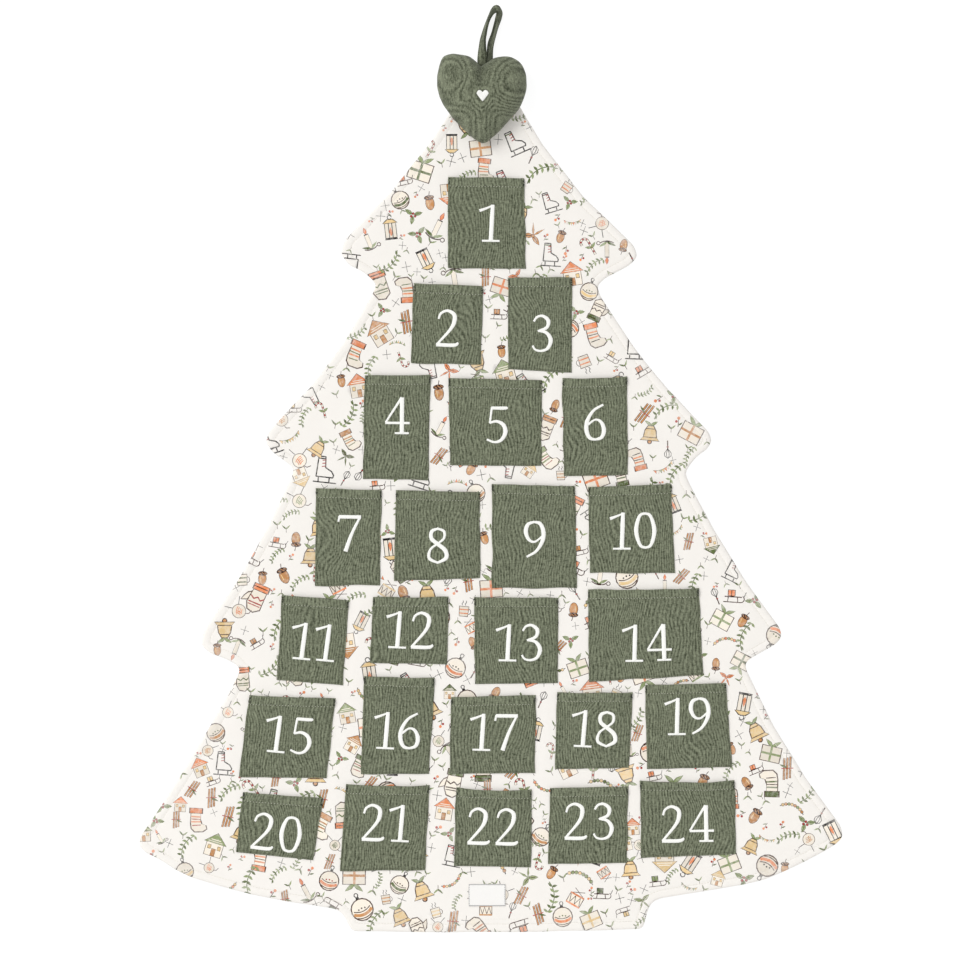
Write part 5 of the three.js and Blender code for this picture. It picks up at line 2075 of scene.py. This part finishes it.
def tape_line():
    """The tape's route from seam to seam, with the angles that its width is turned and leans by."""
    route = []
    for index, (column, row, twist, lean) in enumerate(loop_pixels):
        x, z = from_pixel(column, row)
        drop = np.clip(-z / seen_drop, 0, 1)
        side = -1 if index < loop_top else 1
        route.append((x, side * drop**1.5 * leg_spread, z, math.radians(twist), math.radians(lean)))
    legs = ((True, route[0], -layer_offset, 0), (False, route[-1], layer_offset, math.pi))
    for drop in hidden_drops:
        share = min(1, (drop - legs_close_from) / legs_close_over)
        for is_left, (x, y, _, twist, _), level, end in legs:
            across = (1 - share) * x + share * tape_centre
            level = (1 - share) * y + share * level
            point = (across, level, -drop, (1 - share) * twist + share * end, 0)
            route.insert(0 if is_left else len(route), point)
    line = smooth_line(np.array(route) * (1, 1, 1, angle_weight, angle_weight), tape_step)
    return line[:, :3], line[:, 3] / angle_weight, line[:, 4] / angle_weight


def shade_inner_edge(tape, line, side):
    """Paints shade on the edge inside the loop, and on more of the width where the tape rises to the hook.
    """
    rising = np.arange(len(line)) < line[:, 2].argmax()
    reach = tape_wide / 2 * (0.7 - 0.9 * rising * soft_step((line[:, 2] + 22) / 9))
    inner = (side > reach[:, None]) * np.where(rising, 1.0, falling_leg_shade_share)[:, None]
    store(tape, "hem", np.tile(inner_edge_painted_shade * inner.ravel(), 2))


def folded_tape():
    """The tape's mesh, its length, its route with its own directions, and its thickness."""
    line, twist, lean = tape_line()
    along = np.gradient(line, axis=0)
    along /= np.linalg.norm(along, axis=1)[:, None]
    across = np.stack([np.cos(twist) * np.cos(lean), -np.sin(twist) * np.cos(lean), np.sin(lean)], axis=1)
    across -= (across * along).sum(1)[:, None] * along
    across /= np.linalg.norm(across, axis=1)[:, None]
    out = np.cross(across, along)
    side = np.array([-1, -0.96, -0.86, -0.76, -0.5, -0.06, 0.06, 0.5, 0.76, 0.86, 0.96, 1])
    side = side * (tape_wide / 2)
    swell = np.array([0.15, 0.42, 0.5, 0.36, 0.5, 0.5, 0.38, 0.5, 0.36, 0.5, 0.42, 0.15])
    thick = tape_thick * (1 + soft_step((line[:, 2] + 60) / 22))
    wander = 0.4 * np.array([noise.noise(Vector((i * 0.09, 3, 7))) for i in range(len(line))])
    layers = []
    for face in (1, -1):
        points = line[:, None, :] + side[None, :, None] * across[:, None, :]
        rise = face * swell[None, :] * thick[:, None] + wander[:, None] * 0.3
        points = points + rise[..., None] * out[:, None, :]
        layers.append(points.reshape(-1, 3))
    faces = closed_sheet_faces(len(line), len(side))
    tape = new_piece("hanging_tape", np.vstack(layers), faces, tape_green)
    shade_inner_edge(tape, line, side)
    length = np.linalg.norm(np.diff(line, axis=0), axis=1).sum()
    return tape, length, line, across, out, thick


# The tape's rows are thick and in the dark thread, which paints shade along its edges.
row_share = 0.76
tape_thread = 0.34


def tape_stitches(line, across, out, thick):
    """A row along both edges, on both faces, clear of the heart's ties, in thick dark thread that paints
    shade.
    """
    starts, ends, outs = [], [], []
    tie_low, tie_high = (corner.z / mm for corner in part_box("heart_tack"))
    first = np.arange(1, len(line) - 3, 2)
    first = first[(line[first, 2] < tie_low - 4) | (line[first, 2] > tie_high + 4)]
    for side in (-row_share, row_share):
        for face in (1, -1):
            row = line + across * side * tape_wide / 2 + out * face * thick[:, None] * 0.36
            starts.append(row[first])
            ends.append(row[first] + (row[first + 1] - row[first]) * 1.5)
            outs.append(out[first] * face)
    starts, ends, outs = (np.vstack(rows) for rows in (starts, ends, outs))
    return stitch_mesh("tape_stitching", starts, ends, outs, tape_thread, dark_thread_painted_shade)


tape_green = green_cloth("green_tape", seed=41.0, thread_pitch=0.5, bends=1.0, spacing=9)
hanging_tape, tape_length, *tape_course = folded_tape()
tape_row = tape_stitches(*tape_course)
for piece, slot in ((hanging_tape, "green_tape"), (tape_row, "green_thread")):
    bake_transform(piece)
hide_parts("hanging_loop", "loop_tail")
print("tape:", round(tape_length), "mm long")

# %% [markdown]
# ## The pockets, once more
#
# A loop goes through each pocket's cloth and its record, and changes nothing.


for number, cloth in pocket_cloths.items():
    pocket = pockets[number]

# %% [markdown]
# ## Finish
#
# The view layer is brought up to date.

# %% Finish
bpy.context.view_layer.update()
